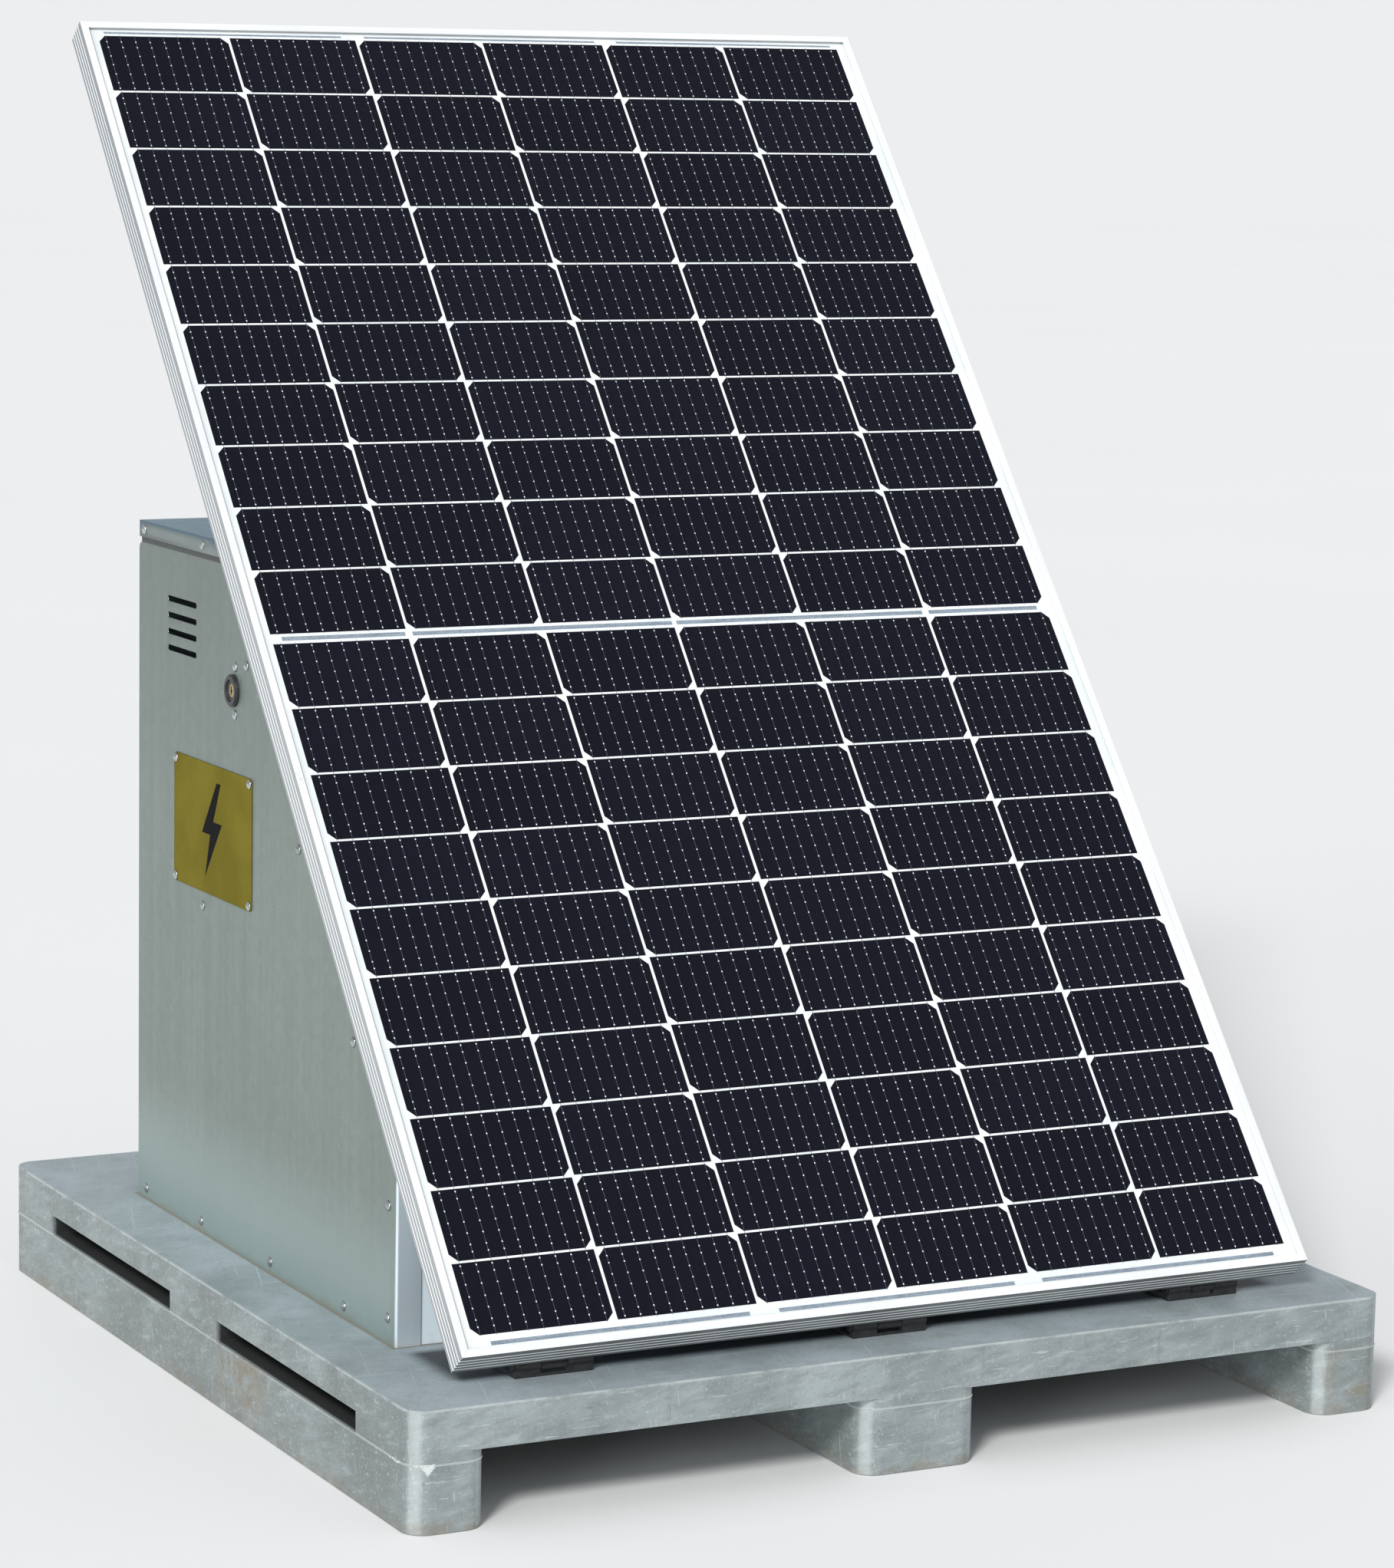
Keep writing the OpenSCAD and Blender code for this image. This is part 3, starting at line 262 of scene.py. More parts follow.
def galvanised(name, light, dark, metallic, base_rough, top_sky_reflection=None, front_sky_reflection=None):
    """Zinc-coated sheet: upright streaks and a soft spangle, darker towards the top, paler near the ground
    as a painted reflection, with painted sky reflection on faces looking up or forward, painted highlights
    on its folds and a painted shadow under the lid.
    """
    p = Paint(name)
    streaks = p.noise(1.0, 5.0, 0.6, p.scaled((55.0, 55.0, 1.6)))
    clouds = p.noise(2.2, 3.0, 0.5)
    spangle = p.node("TexVoronoi", {"Vector": p.place, "Scale": 95.0}).outputs["Color"]
    grain = p.node("SeparateColor", {"Color": spangle}).outputs[0]
    blend = p.math("ADD", p.mul(streaks, 0.55), p.mul(clouds, 0.3))
    blend = p.math("ADD", blend, p.mul(grain, 0.1))
    colour = p.mix(p.step(blend, 0.3, 0.68), dark, light)
    darker = tuple(v * 0.75 for v in dark)
    colour = p.mix(p.mul(p.step(p.z, 0.55, 0.95), 0.45), colour, darker)
    # Painted reflection: the sheet turns paler and bluer just above the deck.
    paler = tuple(v * gain for v, gain in zip(light, (1.42, 1.5, 1.58)))
    colour = p.mix(p.mul(p.step(p.z, 0.31, DECK_TOP), 0.9), colour, paler)
    across, along, up = p.facing()
    # Painted sky reflection: faces looking up, and faces looking forward, take a paler bluer colour.
    if top_sky_reflection is not None:
        colour = p.mix(p.step(up, 0.6, 0.95), colour, top_sky_reflection)
    if front_sky_reflection is not None:
        colour = p.mix(p.step(along, -0.5, -0.9), colour, front_sky_reflection)
    # Painted highlight along the folds.
    colour = p.mix(p.mul(fold_highlights(p, across), 0.4), colour, (0.80, 0.85, 0.87))
    # Painted shadow: a dark line on the side walls just under the lid's skirt.
    lid_shadow_line = p.mul(p.band(p.z, LID_LINE_Z, 0.0025, 0.0015), p.step(p.size(across), 0.8, 0.95))
    colour = p.mix(p.mul(lid_shadow_line, 0.75), colour, (0.03, 0.032, 0.033))
    dust = p.mul(p.step(p.z, DECK_TOP + 0.020, DECK_TOP - 0.001), p.step(p.noise(26.0), 0.42, 0.7))
    colour = p.mix(p.mul(dust, 0.4), colour, (0.25, 0.22, 0.17))
    specks = p.step(p.noise(150.0, 2.0, 0.7), 0.72, 0.78)
    colour = p.mix(p.mul(specks, 0.35), colour, (0.8, 0.83, 0.84))
    rough = p.math("ADD", p.span(streaks, base_rough - 0.06, base_rough + 0.1), p.mul(dust, 0.25))
    normal = p.bump(p.noise(420.0, 2.0, 0.6), 0.00012, 0.5)
    normal = p.bump(p.noise(1.0, 2.0, 0.5, p.scaled((9.0, 9.0, 2.5))), 0.004, 0.25, normal)
    return p.finish(colour, rough, normal, Metallic=metallic)


def slot_shade(p):
    """1 inside the side slots, which never see the light, where shade is painted."""
    side = p.size(p.x)
    end = p.size(p.y)
    beside = p.step(side, PALLET_HALF_W - 0.0005, PALLET_HALF_W - 0.007)
    above = p.step(p.z, RUNNER_TOP - 0.0008, RUNNER_TOP - 0.0001)
    below = p.step(p.z, SLOT_TOP + 0.0012, SLOT_TOP + 0.0002)
    within = p.mul(
        p.step(end, SLOT_FAR_Y + 0.0012, SLOT_FAR_Y + 0.0002),
        p.step(end, SLOT_NEAR_Y - 0.0012, SLOT_NEAR_Y - 0.0002),
    )
    return p.mul(beside, p.mul(above, below), within)


def pallet_scratches(p):
    """Long fine scratches in three directions."""
    lengthways = p.noise(1.0, 5.0, 0.6, p.scaled((3.0, 330.0, 330.0), (0.0, 0.0, 0.06)))
    crossways = p.noise(1.0, 5.0, 0.6, p.scaled((330.0, 4.0, 330.0), (0.0, 0.0, 0.3)))
    upright = p.noise(1.0, 4.0, 0.6, p.scaled((240.0, 240.0, 7.0), (0.15, 0.1, 0.0)))
    marks = p.most(p.step(lengthways, 0.63, 0.67), p.step(crossways, 0.64, 0.68))
    return p.most(marks, p.mul(p.step(upright, 0.64, 0.7), 0.6))


def pallet_soil(p, top):
    """Soil along the housing's foot, on the ground line, at the left slot and on the right foot."""
    patchy = p.noise(31.0, 6.0, 0.7)
    rough_edge = p.step(patchy, 0.4, 0.62)
    beside = p.mul(
        p.step(p.size(p.x), HOUSING_HALF_W + 0.005, HOUSING_HALF_W + 0.0025),
        p.step(p.y, HOUSING_FRONT_Y - 0.0055, HOUSING_FRONT_Y - 0.003),
        p.step(p.y, HOUSING_REAR_Y + 0.006, HOUSING_REAR_Y + 0.0035),
    )
    line = p.mul(top, beside, p.span(patchy, 0.75, 1.2))
    ground = p.mul(p.step(p.z, 0.022, 0.002), 0.6)
    by_slot = p.mul(
        p.band(p.y, -0.135, 0.035, 0.075),
        p.step(p.x, 0.005 - PALLET_HALF_W, 0.001 - PALLET_HALF_W),
        p.band(p.z, 0.048, 0.014, 0.03),
    )
    scattered = p.mul(top, p.step(p.y, -0.50, -0.55), p.step(p.noise(17.0, 5.0, 0.65), 0.55, 0.66), 0.4)
    right_foot = p.mul(
        p.band(p.x, 0.555, 0.018, 0.03),
        p.step(p.y, 0.008 - PALLET_HALF_D, 0.003 - PALLET_HALF_D),
        p.band(p.z, 0.042, 0.012, 0.028),
    )
    return p.most(line, p.mul(p.most(ground, by_slot, right_foot, scattered), rough_edge))


def pallet_tones_lit_by_facing(p, mottle, along, top):
    """The plastic's mottle with light painted by facing: greenish on the sides, greyer and lighter in front,
    paler and bluer on top as painted sky light.
    """
    side = p.mix(p.step(mottle, 0.36, 0.66), (0.172, 0.200, 0.198), (0.250, 0.285, 0.285))
    front = p.mix(p.step(mottle, 0.36, 0.66), (0.205, 0.240, 0.243), (0.300, 0.345, 0.352))
    above = p.mix(p.step(mottle, 0.34, 0.68), (0.275, 0.330, 0.350), (0.380, 0.450, 0.485))
    return p.mix(top, p.mix(p.step(p.size(along), 0.4, 0.8), side, front), above)


def pallet_wear_and_highlights(p, colour, across, along):
    """Pale worn rims that also carry a painted edge highlight, a painted highlight down the upright corners,
    and the weld line.
    """
    edge_x = p.step(p.size(p.x), PALLET_HALF_W - 0.0035, PALLET_HALF_W - 0.001)
    edge_y = p.step(p.size(p.y), PALLET_HALF_D - 0.0035, PALLET_HALF_D - 0.001)
    edge_z = p.step(p.z, DECK_TOP - 0.0035, DECK_TOP - 0.001)
    rim = p.most(p.mul(edge_x, edge_z), p.mul(edge_y, edge_z), p.mul(edge_x, edge_y))
    # Rims: pale wear and a painted edge highlight.
    worn = p.mul(rim, p.step(p.noise(24.0, 5.0, 0.7), 0.34, 0.56))
    colour = p.mix(p.mul(worn, 0.5), colour, (0.56, 0.61, 0.61))
    # Painted highlight down the rounded upright corners.
    corner = p.mul(p.step(p.size(across), 0.35, 0.6), p.step(p.size(along), 0.35, 0.6))
    colour = p.mix(p.mul(corner, 0.35), colour, (0.56, 0.61, 0.61))
    weld = p.band(p.z, RUNNER_TOP + 0.0002, 0.0006, 0.0012)
    return p.mix(p.mul(weld, 0.45), colour, (0.6, 0.63, 0.62))


def panel_shadow_area(p, top):
    """1 on the deck in the panel's shade, behind its lower edge, where the panel's shadow is painted."""
    deep = p.mul(p.step(p.y, -0.514, -0.500), p.step(p.y, -0.380, -0.400))
    return p.mul(top, deep, p.step(p.size(p.x), PANEL_HALF_W - 0.001, PANEL_HALF_W - 0.029))


def pallet_plastic(name, shade=1.0):
    """Recycled plastic, weathered, with scratches, worn edges, a weld line and soil, and painted light:
    tones by facing, edge and corner highlights, the panel's shadow and shade in the slots.
    """
    p = Paint(name)
    mottle = p.noise(7.0, 6.0, 0.62)
    across, along, up = p.facing()
    top = p.step(up, 0.5, 0.9)
    # Painted light: the base tones change with which way the face looks.
    colour = p.mix(1.0 - shade, pallet_tones_lit_by_facing(p, mottle, along, top), (0.0, 0.0, 0.0))
    brushed_on = p.noise(1.0, 5.0, 0.65, p.scaled((26.0, 26.0, 110.0), (0.25, 0.2, 0.0)))
    strength = p.span(top, 1.0, 0.4)
    colour = p.mix(p.mul(p.step(brushed_on, 0.52, 0.36), strength, 0.28), colour, (0.12, 0.135, 0.132))
    colour = p.mix(p.mul(p.step(brushed_on, 0.54, 0.68), strength, 0.22), colour, (0.52, 0.57, 0.58))
    speck = p.noise(260.0, 3.0, 0.7)
    colour = p.mix(p.mul(p.step(speck, 0.58, 0.68), 0.30), colour, (0.55, 0.58, 0.58))
    colour = p.mix(p.mul(p.step(speck, 0.42, 0.32), 0.35), colour, (0.1, 0.11, 0.11))
    scratches = pallet_scratches(p)
    colour = p.mix(p.mul(scratches, 0.42), colour, (0.62, 0.66, 0.67))
    colour = pallet_wear_and_highlights(p, colour, across, along)
    # Painted shadow of the panel on the deck.
    colour = p.mix(p.mul(panel_shadow_area(p, top), 0.95), colour, (0.010, 0.011, 0.012))
    soil = pallet_soil(p, top)
    colour = p.mix(p.mul(soil, 0.8), colour, (0.215, 0.180, 0.125))
    # Painted shade: near black inside the side slots.
    colour = p.mix(p.mul(slot_shade(p), 0.93), colour, (0.006, 0.006, 0.006))
    rough = p.math("ADD", p.span(mottle, 0.42, 0.62), p.mul(soil, 0.3))
    normal = p.bump(speck, 0.0006, 0.5)
    normal = p.bump(mottle, 0.003, 0.4, normal)
    normal = p.bump(scratches, 0.0004, 0.5, normal)
    return p.finish(colour, rough, normal)


def brushed(name, light, dark, metallic, base_rough, scale, stretch=(1, 1, 1)):
    """Drawn or brushed metal with lines along one way, small dents and a little grime."""
    p = Paint(name)
    lines = p.noise(1.0, 4.0, 0.6, p.scaled(tuple(scale if s else 3.0 for s in stretch)))
    patches = p.noise(9.0, 4.0, 0.6)
    colour = p.mix(p.step(p.blend(lines, patches, 0.6), 0.38, 0.62), dark, light)
    grime = p.mul(p.step(p.noise(34.0, 5.0, 0.7), 0.6, 0.74), 0.35)
    colour = p.mix(grime, colour, tuple(v * 0.28 for v in dark))
    rough = p.math("ADD", p.span(lines, base_rough - 0.05, base_rough + 0.09), p.mul(grime, 0.3))
    return p.finish(colour, rough, p.bump(lines, 0.00015, 0.4), Metallic=metallic)


def rail_outside(p, normal, across, along, side_rail):
    """1 on the outer wall of a frame rail."""
    nx, ny, nz = normal
    if side_rail:
        looks_out = p.step(p.size(nx), 0.7, 0.95)
        return p.mul(looks_out, p.step(p.size(across), PANEL_HALF_W - 0.002, PANEL_HALF_W - 0.001))
    far = PANEL_LENGTH * MM
    end = p.most(p.step(along, 0.0022, 0.0012), p.step(along, far - 0.0022, far - 0.0012))
    return p.mul(p.step(p.size(p.along_slope(ny, nz)), 0.7, 0.95), end)


def frame_rail(name, stretch, side_rail):
    """Anodised panel frame: pale lip, ribbed outer wall with painted shade that deepens up the slope and in
    the grooves, a lower rail with painted shade on its down-facing wall, and grime.
    """
    p = Paint(name)
    across, along, out = p.on_slope()
    parts = {"X": p.mul(across, stretch[0]), "Y": p.mul(along, stretch[1]), "Z": p.mul(out, stretch[2])}
    lines = p.noise(1.0, 2.0, 0.5, p.node("CombineXYZ", parts).outputs[0])
    patches = p.noise(5.0, 4.0, 0.6)
    tone = p.step(p.blend(lines, patches, 0.4), 0.36, 0.64)
    colour = p.mix(tone, (0.78, 0.80, 0.81), (0.86, 0.87, 0.88))
    normal = p.facing()
    outer = rail_outside(p, normal, across, along, side_rail)
    # Painted shade: the outer wall is much darker than the lip, darkest up the slope.
    wall = p.mix(p.step(along, 0.6, 1.7), (0.270, 0.293, 0.303), (0.162, 0.185, 0.202))
    colour = p.mix(p.mul(outer, 0.85), colour, wall)
    wave = p.math("FRACT", p.math("DIVIDE", p.math("SUBTRACT", out, RIB_START), RIB_PITCH))
    groove = p.mul(p.band(wave, 0.5, 0.08, 0.22), p.step(out, 0.0035, 0.0045), p.step(out, 0.0285, 0.0275))
    # Painted shade in the outer wall's grooves.
    colour = p.mix(p.mul(groove, outer, 0.22), colour, (0.15, 0.165, 0.17))
    # Painted shade on the lower rail's down-facing wall.
    lower = p.mul(p.step(normal[2], -0.6, -0.72), p.step(along, 0.004, 0.002))
    lower_wall_shade = p.mix(p.step(patches, 0.4, 0.62), (0.105, 0.112, 0.108), (0.185, 0.197, 0.192))
    colour = p.mix(p.mul(lower, 0.8), colour, lower_wall_shade)
    # Painted light in that wall's grooves, lifting their real shade.
    colour = p.mix(p.mul(groove, lower, 0.6), colour, (0.55, 0.57, 0.56))
    grime = p.mul(p.step(p.noise(34.0, 5.0, 0.7), 0.64, 0.76), 0.3)
    colour = p.mix(grime, colour, (0.2, 0.19, 0.16))
    rough = p.math("ADD", p.span(lines, 0.4, 0.52), p.mul(grime, 0.3))
    return p.finish(colour, rough, p.bump(patches, 0.0004, 0.2), Metallic=0.1)


GREY_SCUFF = (0.55, 0.56, 0.57)


def moulded(name, light, dark, base_rough, grain=0.0004, grain_scale=620.0, scuff=GREY_SCUFF, shine=0.5):
    """Moulded plastic or rubber: fine grain, slow colour drift and light scuffs."""
    p = Paint(name)
    drift = p.noise(11.0, 4.0, 0.6)
    fine = p.noise(grain_scale, 2.0, 0.6)
    colour = p.mix(p.step(p.blend(drift, fine, 0.7), 0.36, 0.64), dark, light)
    scuffs = p.step(p.noise(1.0, 5.0, 0.7, p.scaled((30.0, 170.0, 90.0), (0.4, 0.2, 0.7))), 0.67, 0.74)
    colour = p.mix(p.mul(scuffs, 0.22), colour, scuff)
    rough = p.math("ADD", p.span(drift, base_rough - 0.07, base_rough + 0.08), p.mul(scuffs, 0.12))
    return p.finish(colour, rough, p.bump(fine, grain, 0.45), Specular_IOR_Level=shine)


def cell_silicon(name):
    """Dark silicon: each cell has its own tone, with a faint blue grain and dust low down."""
    p = Paint(name)
    tone = p.node("Attribute", attribute_name="tone").outputs["Fac"]
    grain = p.noise(330.0, 2.0, 0.75)
    low = p.step(p.z, 0.8, 0.15)
    colour = p.mix(tone, (0.0030, 0.0037, 0.0095), (0.0042, 0.0050, 0.0125))
    colour = p.mix(p.mul(p.noise(14.0, 3.0, 0.5), 0.3), colour, (0.004, 0.005, 0.015))
    colour = p.mix(p.mul(p.step(grain, 0.5, 0.75), 0.10), colour, (0.03, 0.035, 0.08))
    colour = p.mix(p.mul(low, 0.007), colour, (0.6, 0.56, 0.5))
    normal = p.bump(grain, 0.00004, 0.25)
    return p.finish(colour, p.span(grain, 0.42, 0.55), normal, Specular_IOR_Level=0.04)


def white_backsheet(name):
    """The panel's white sheet, faintly woven and stained."""
    p = Paint(name)
    drift = p.noise(6.0, 4.0, 0.6)
    weave = p.noise(500.0, 2.0, 0.6)
    colour = p.mix(p.step(drift, 0.35, 0.65), (0.80, 0.83, 0.86), (0.90, 0.925, 0.94))
    stain = p.step(p.noise(15.0, 5.0, 0.7), 0.66, 0.8)
    colour = p.mix(p.mul(stain, 0.15), colour, (0.55, 0.55, 0.5))
    return p.finish(colour, p.span(drift, 0.4, 0.55), p.bump(weave, 0.00008, 0.35))


def bus_metal(name, light, dark, metallic):
    """Tinned copper: even blue-grey, or near-white and unmetallic where it is solder, a painted glint."""
    p = Paint(name)
    flecks = p.noise(300.0, 3.0, 0.7)
    streaks = p.noise(1.0, 3.0, 0.6, p.scaled((22.0, 260.0, 260.0)))
    colour = p.mix(p.step(p.blend(flecks, streaks, 0.5), 0.36, 0.62), dark, light)
    return p.finish(colour, p.span(flecks, 0.34, 0.5), p.bump(flecks, 0.0001, 0.4), Metallic=metallic)


def cover_glass(name):
    """Low-iron glass with an anti-reflective face: what is behind it shows, and a soft shine lies on it."""
    p = Paint(name)
    dust = p.noise(3.0, 6.0, 0.65)
    clear = p.node("BsdfTransparent", {"Color": (0.985, 0.99, 0.985, 1.0)}).outputs[0]
    haze = p.span(dust, 0.12, 0.2)
    shine = p.node("BsdfGlossy", {"Color": (1.0, 1.0, 1.0, 1.0), "Roughness": haze}).outputs[0]
    facing = p.node("LayerWeight", {"Blend": 0.12}).outputs["Fresnel"]
    share = p.mul(facing, p.span(p.step(p.z, 1.35, 0.25), 0.012, 0.08))
    made = p.node("MixShader", {"Fac": share, 1: clear, 2: shine})
    out = p.node("OutputMaterial")
    p.tree.links.new(made.outputs[0], out.inputs["Surface"])
    return p.material


def plywood(name):
    """Board with long growth rings and short fibres."""
    p = Paint(name)
    rings = p.noise(1.0, 5.0, 0.6, p.scaled((2.5, 60.0, 26.0)))
    fibre = p.noise(1.0, 3.0, 0.6, p.scaled((14.0, 300.0, 420.0)))
    colour = p.mix(p.step(rings, 0.38, 0.62), (0.42, 0.29, 0.165), (0.60, 0.45, 0.28))
    colour = p.mix(p.mul(p.step(fibre, 0.55, 0.7), 0.4), colour, (0.32, 0.21, 0.12))
    return p.finish(colour, p.span(rings, 0.5, 0.66), p.bump(fibre, 0.0003, 0.5))


def sign_enamel(name):
    """Printed yellow plate, a little faded and finely scratched."""
    p = Paint(name)
    fade = p.noise(10.0, 4.0, 0.6)
    colour = p.mix(p.step(fade, 0.35, 0.68), (0.130, 0.108, 0.0115), (0.165, 0.138, 0.017))
    scratch = p.step(p.noise(1.0, 5.0, 0.7, p.scaled((1.0, 30.0, 260.0), (0.5, 0.0, 0.0))), 0.66, 0.72)
    colour = p.mix(p.mul(scratch, 0.15), colour, (0.40, 0.36, 0.12))
    return p.finish(colour, p.span(fade, 0.55, 0.65), p.bump(scratch, 0.0001, 0.4), Specular_IOR_Level=0.03)


def sheet_materials():
    side_light, side_dark = (0.265, 0.312, 0.286), (0.205, 0.246, 0.226)
    lid_light, lid_dark = (0.295, 0.345, 0.335), (0.235, 0.28, 0.275)
    # The front sheet is the same zinc sheet, painted far paler and less metallic as painted sky light on its
    # shaded face.
    front_light, front_dark = (0.66, 0.76, 0.82), (0.54, 0.63, 0.68)
    # Painted sky reflection for the lid's top and for the front-facing folds and sheet.
    sky_on_lid, sky_on_folded_front, sky_on_front = (0.185, 0.283, 0.348), (0.68, 0.78, 0.84), (0.70, 0.80, 0.86)
    return [
        galvanised("galvanised_sheet", side_light, side_dark, 0.6, 0.44, front_sky_reflection=sky_on_folded_front),
        galvanised("front_sheet_sky_lit", front_light, front_dark, 0.05, 0.4, front_sky_reflection=sky_on_front),
        galvanised("lid_sheet", lid_light, lid_dark, 0.6, 0.42, top_sky_reflection=sky_on_lid),
        sign_enamel("sign_yellow"),
    ]


def metal_materials():
    return [
        brushed("zinc_steel", (0.80, 0.82, 0.83), (0.58, 0.61, 0.62), 0.95, 0.28, 120.0),
        brushed("dark_steel", (0.20, 0.20, 0.21), (0.11, 0.11, 0.12), 0.9, 0.36, 140.0),
        brushed("hinge_black", (0.030, 0.031, 0.033), (0.014, 0.015, 0.016), 0.2, 0.5, 140.0),
        brushed("rivet_steel", (0.62, 0.64, 0.66), (0.40, 0.42, 0.44), 1.0, 0.16, 200.0),
        brushed("brass", (0.62, 0.50, 0.26), (0.40, 0.31, 0.15), 0.95, 0.3, 300.0, (0, 1, 1)),
        brushed("lead_alloy", (0.50, 0.51, 0.53), (0.33, 0.34, 0.36), 0.8, 0.45, 90.0),
        frame_rail("frame_aluminium", (120.0, 2.0, 120.0), True),
        frame_rail("frame_end_aluminium", (2.0, 120.0, 120.0), False),
    ]


def panel_materials():
    return [
        white_backsheet("panel_white"),
        cell_silicon("silicon"),
        bus_metal("bus_metal", (0.36, 0.42, 0.50), (0.22, 0.27, 0.34), 0.2),
        # Painted glint: the solder pads are near-white and unmetallic.
        bus_metal("solder", (0.95, 0.96, 0.98), (0.80, 0.83, 0.88), 0.0),
        bus_metal("ribbon", (0.13, 0.14, 0.165), (0.08, 0.085, 0.105), 0.2),
        cover_glass("panel_glass"),
    ]


def plastic_materials():
    ink_scuff, leaf_scuff = (0.03, 0.03, 0.03), (0.35, 0.5, 0.4)
    ink, ink_dark = (0.006, 0.006, 0.0065), (0.003, 0.003, 0.0035)
    case_green, case_green_dark = (0.035, 0.20, 0.085), (0.022, 0.14, 0.058)
    return [
        pallet_plastic("deck_plastic"),
        pallet_plastic("runner_plastic", 0.94),
        pallet_plastic("seam_plastic"),
        moulded("scar_white", (0.66, 0.69, 0.69), (0.5, 0.53, 0.53), 0.62, 0.0008, 240.0),
        moulded("seal_rubber", (0.030, 0.031, 0.032), (0.016, 0.017, 0.018), 0.75),
        moulded("lock_black", (0.032, 0.033, 0.036), (0.014, 0.015, 0.017), 0.4),
        moulded("case_black", (0.045, 0.047, 0.05), (0.024, 0.025, 0.028), 0.5),
        moulded("energizer_green", case_green, case_green_dark, 0.46, 0.0006, 480.0, leaf_scuff),
        moulded("lens_green", (0.10, 0.65, 0.20), (0.05, 0.45, 0.12), 0.18),
        moulded("knob_red", (0.52, 0.030, 0.022), (0.36, 0.018, 0.014), 0.42),
        moulded("knob_yellow", (0.66, 0.43, 0.03), (0.5, 0.31, 0.02), 0.42),
        moulded("knob_green", (0.045, 0.30, 0.09), (0.03, 0.2, 0.06), 0.42),
        moulded("controller_grey", (0.46, 0.47, 0.48), (0.37, 0.38, 0.39), 0.5),
        moulded("display_glass", (0.17, 0.22, 0.155), (0.12, 0.165, 0.11), 0.14, 0.0001),
        moulded("button_grey", (0.14, 0.145, 0.15), (0.09, 0.095, 0.1), 0.55),
        moulded("battery_grey", (0.12, 0.125, 0.13), (0.075, 0.08, 0.085), 0.5),
        moulded("cable_black", (0.032, 0.032, 0.034), (0.017, 0.017, 0.019), 0.55),
        moulded("sign_ink", ink, ink_dark, 0.6, 0.0002, 620.0, ink_scuff, 0.05),
        plywood("board_wood"),
    ]


def make_materials():
    made = sheet_materials() + metal_materials() + panel_materials() + plastic_materials()
    return {material.name.split(".")[0]: material for material in made}


# ---------------------------------------------------------------- CAD nodes: finishes and soft edges

NODE_FINISH = {
    "front_panel": "front_sheet_sky_lit",
    "top_lid": "lid_sheet",
    "housing_rivets": "rivet_steel",
    "hinge_brackets": "hinge_black",
    "hinge_leaves": "hinge_black",
    "hinge_pins": "hinge_black",
    "hinge_screws": "hinge_black",
    "hinge_bolts": "hinge_black",
    "panel_frame_top": "frame_end_aluminium",
    "panel_frame_bottom": "frame_end_aluminium",
    "panel_laminate": "panel_white",
    "panel_glass": "panel_glass",
}
BEVEL_MM = {
    "pallet_deck": 4.0,
    "pallet_runner_left": 4.0,
    "pallet_runner_middle": 4.0,
    "pallet_runner_right": 4.0,
    "battery_case": 1.5,
    "battery_lid": 1.2,
    "energizer_front_case": 1.2,
    "energizer_back_case": 1.0,
    "controller_case": 1.2,
    "equipment_board": 0.6,
}
SOFT_EDGE = 0.35
WELD_GAP = 0.00002
UNBEVELLED = (
    "housing_rivets", "internal_leads", "panel_leads", "side_plate_left", "side_plate_right",
    "rear_panel", "sign_plate", "top_lid",
)


def soften_edges(piece, name):
    bevel = piece.modifiers.new("bevel", "BEVEL")
    bevel.width = BEVEL_MM.get(name, SOFT_EDGE) * MM
    bevel.segments = 3 if name in BEVEL_MM else 2
    bevel.limit_method = "ANGLE"
    bevel.angle_limit = math.radians(40.0)
    bevel.use_clamp_overlap = True


def dress_nodes(paints):
    """Each CAD node gets the finish of its slot or its own, and soft edges that leave its vertices alone."""
    for name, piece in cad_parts.items():
        slot_name = piece.material_slots[0].material.name.split(".")[0]
        finish = paints[NODE_FINISH.get(name, slot_name)]
        for socket in piece.material_slots:
            socket.material = finish
        weld = piece.modifiers.new("weld", "WELD")
        weld.merge_threshold = WELD_GAP
        if name not in UNBEVELLED:
            soften_edges(piece, name)
        piece.modifiers.new("normals", "WEIGHTED_NORMAL")


# ---------------------------------------------------------------- meshes of our own


class Shape:
    """Closed pieces collected into one mesh. Numbers are in millimetres, in the piece's own axes."""

    def __init__(self):
        self.points = []
        self.faces = []
        self.tones = []

    def prism(self, outline, low, high, tone=0.5):
        """An outline in the first two axes, from low to high along the third."""
        first = len(self.points)
        count = len(outline)
        self.points += [(a, b, low) for a, b in outline] + [(a, b, high) for a, b in outline]
        self.faces.append([first + i for i in reversed(range(count))])
        self.faces.append([first + count + i for i in range(count)])
        for i in range(count):
            j = (i + 1) % count
            self.faces.append([first + i, first + j, first + count + j, first + count + i])
        self.tones += [tone] * (count + 2)

    def box(self, low, high, tone=0.5):
        (x0, y0, z0), (x1, y1, z1) = low, high
        self.prism([(x0, y0), (x1, y0), (x1, y1), (x0, y1)], z0, z1, tone)

    def build(self, name, paint, body, slot, matrix=None):
        mesh = bpy.data.meshes.new(name)
        mesh.from_pydata([Vector(p) * MM for p in self.points], [], self.faces)
        mesh.materials.append(paint)
        tone = mesh.attributes.new("tone", "FLOAT", "FACE")
        tone.data.foreach_set("value", self.tones)
        piece = bpy.data.objects.new(name, mesh)
        bpy.context.scene.collection.objects.link(piece)
        if matrix is not None:
            piece.matrix_world = matrix
        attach(piece, body)
        return piece


# The cell field, in millimetres along the panel's own axes

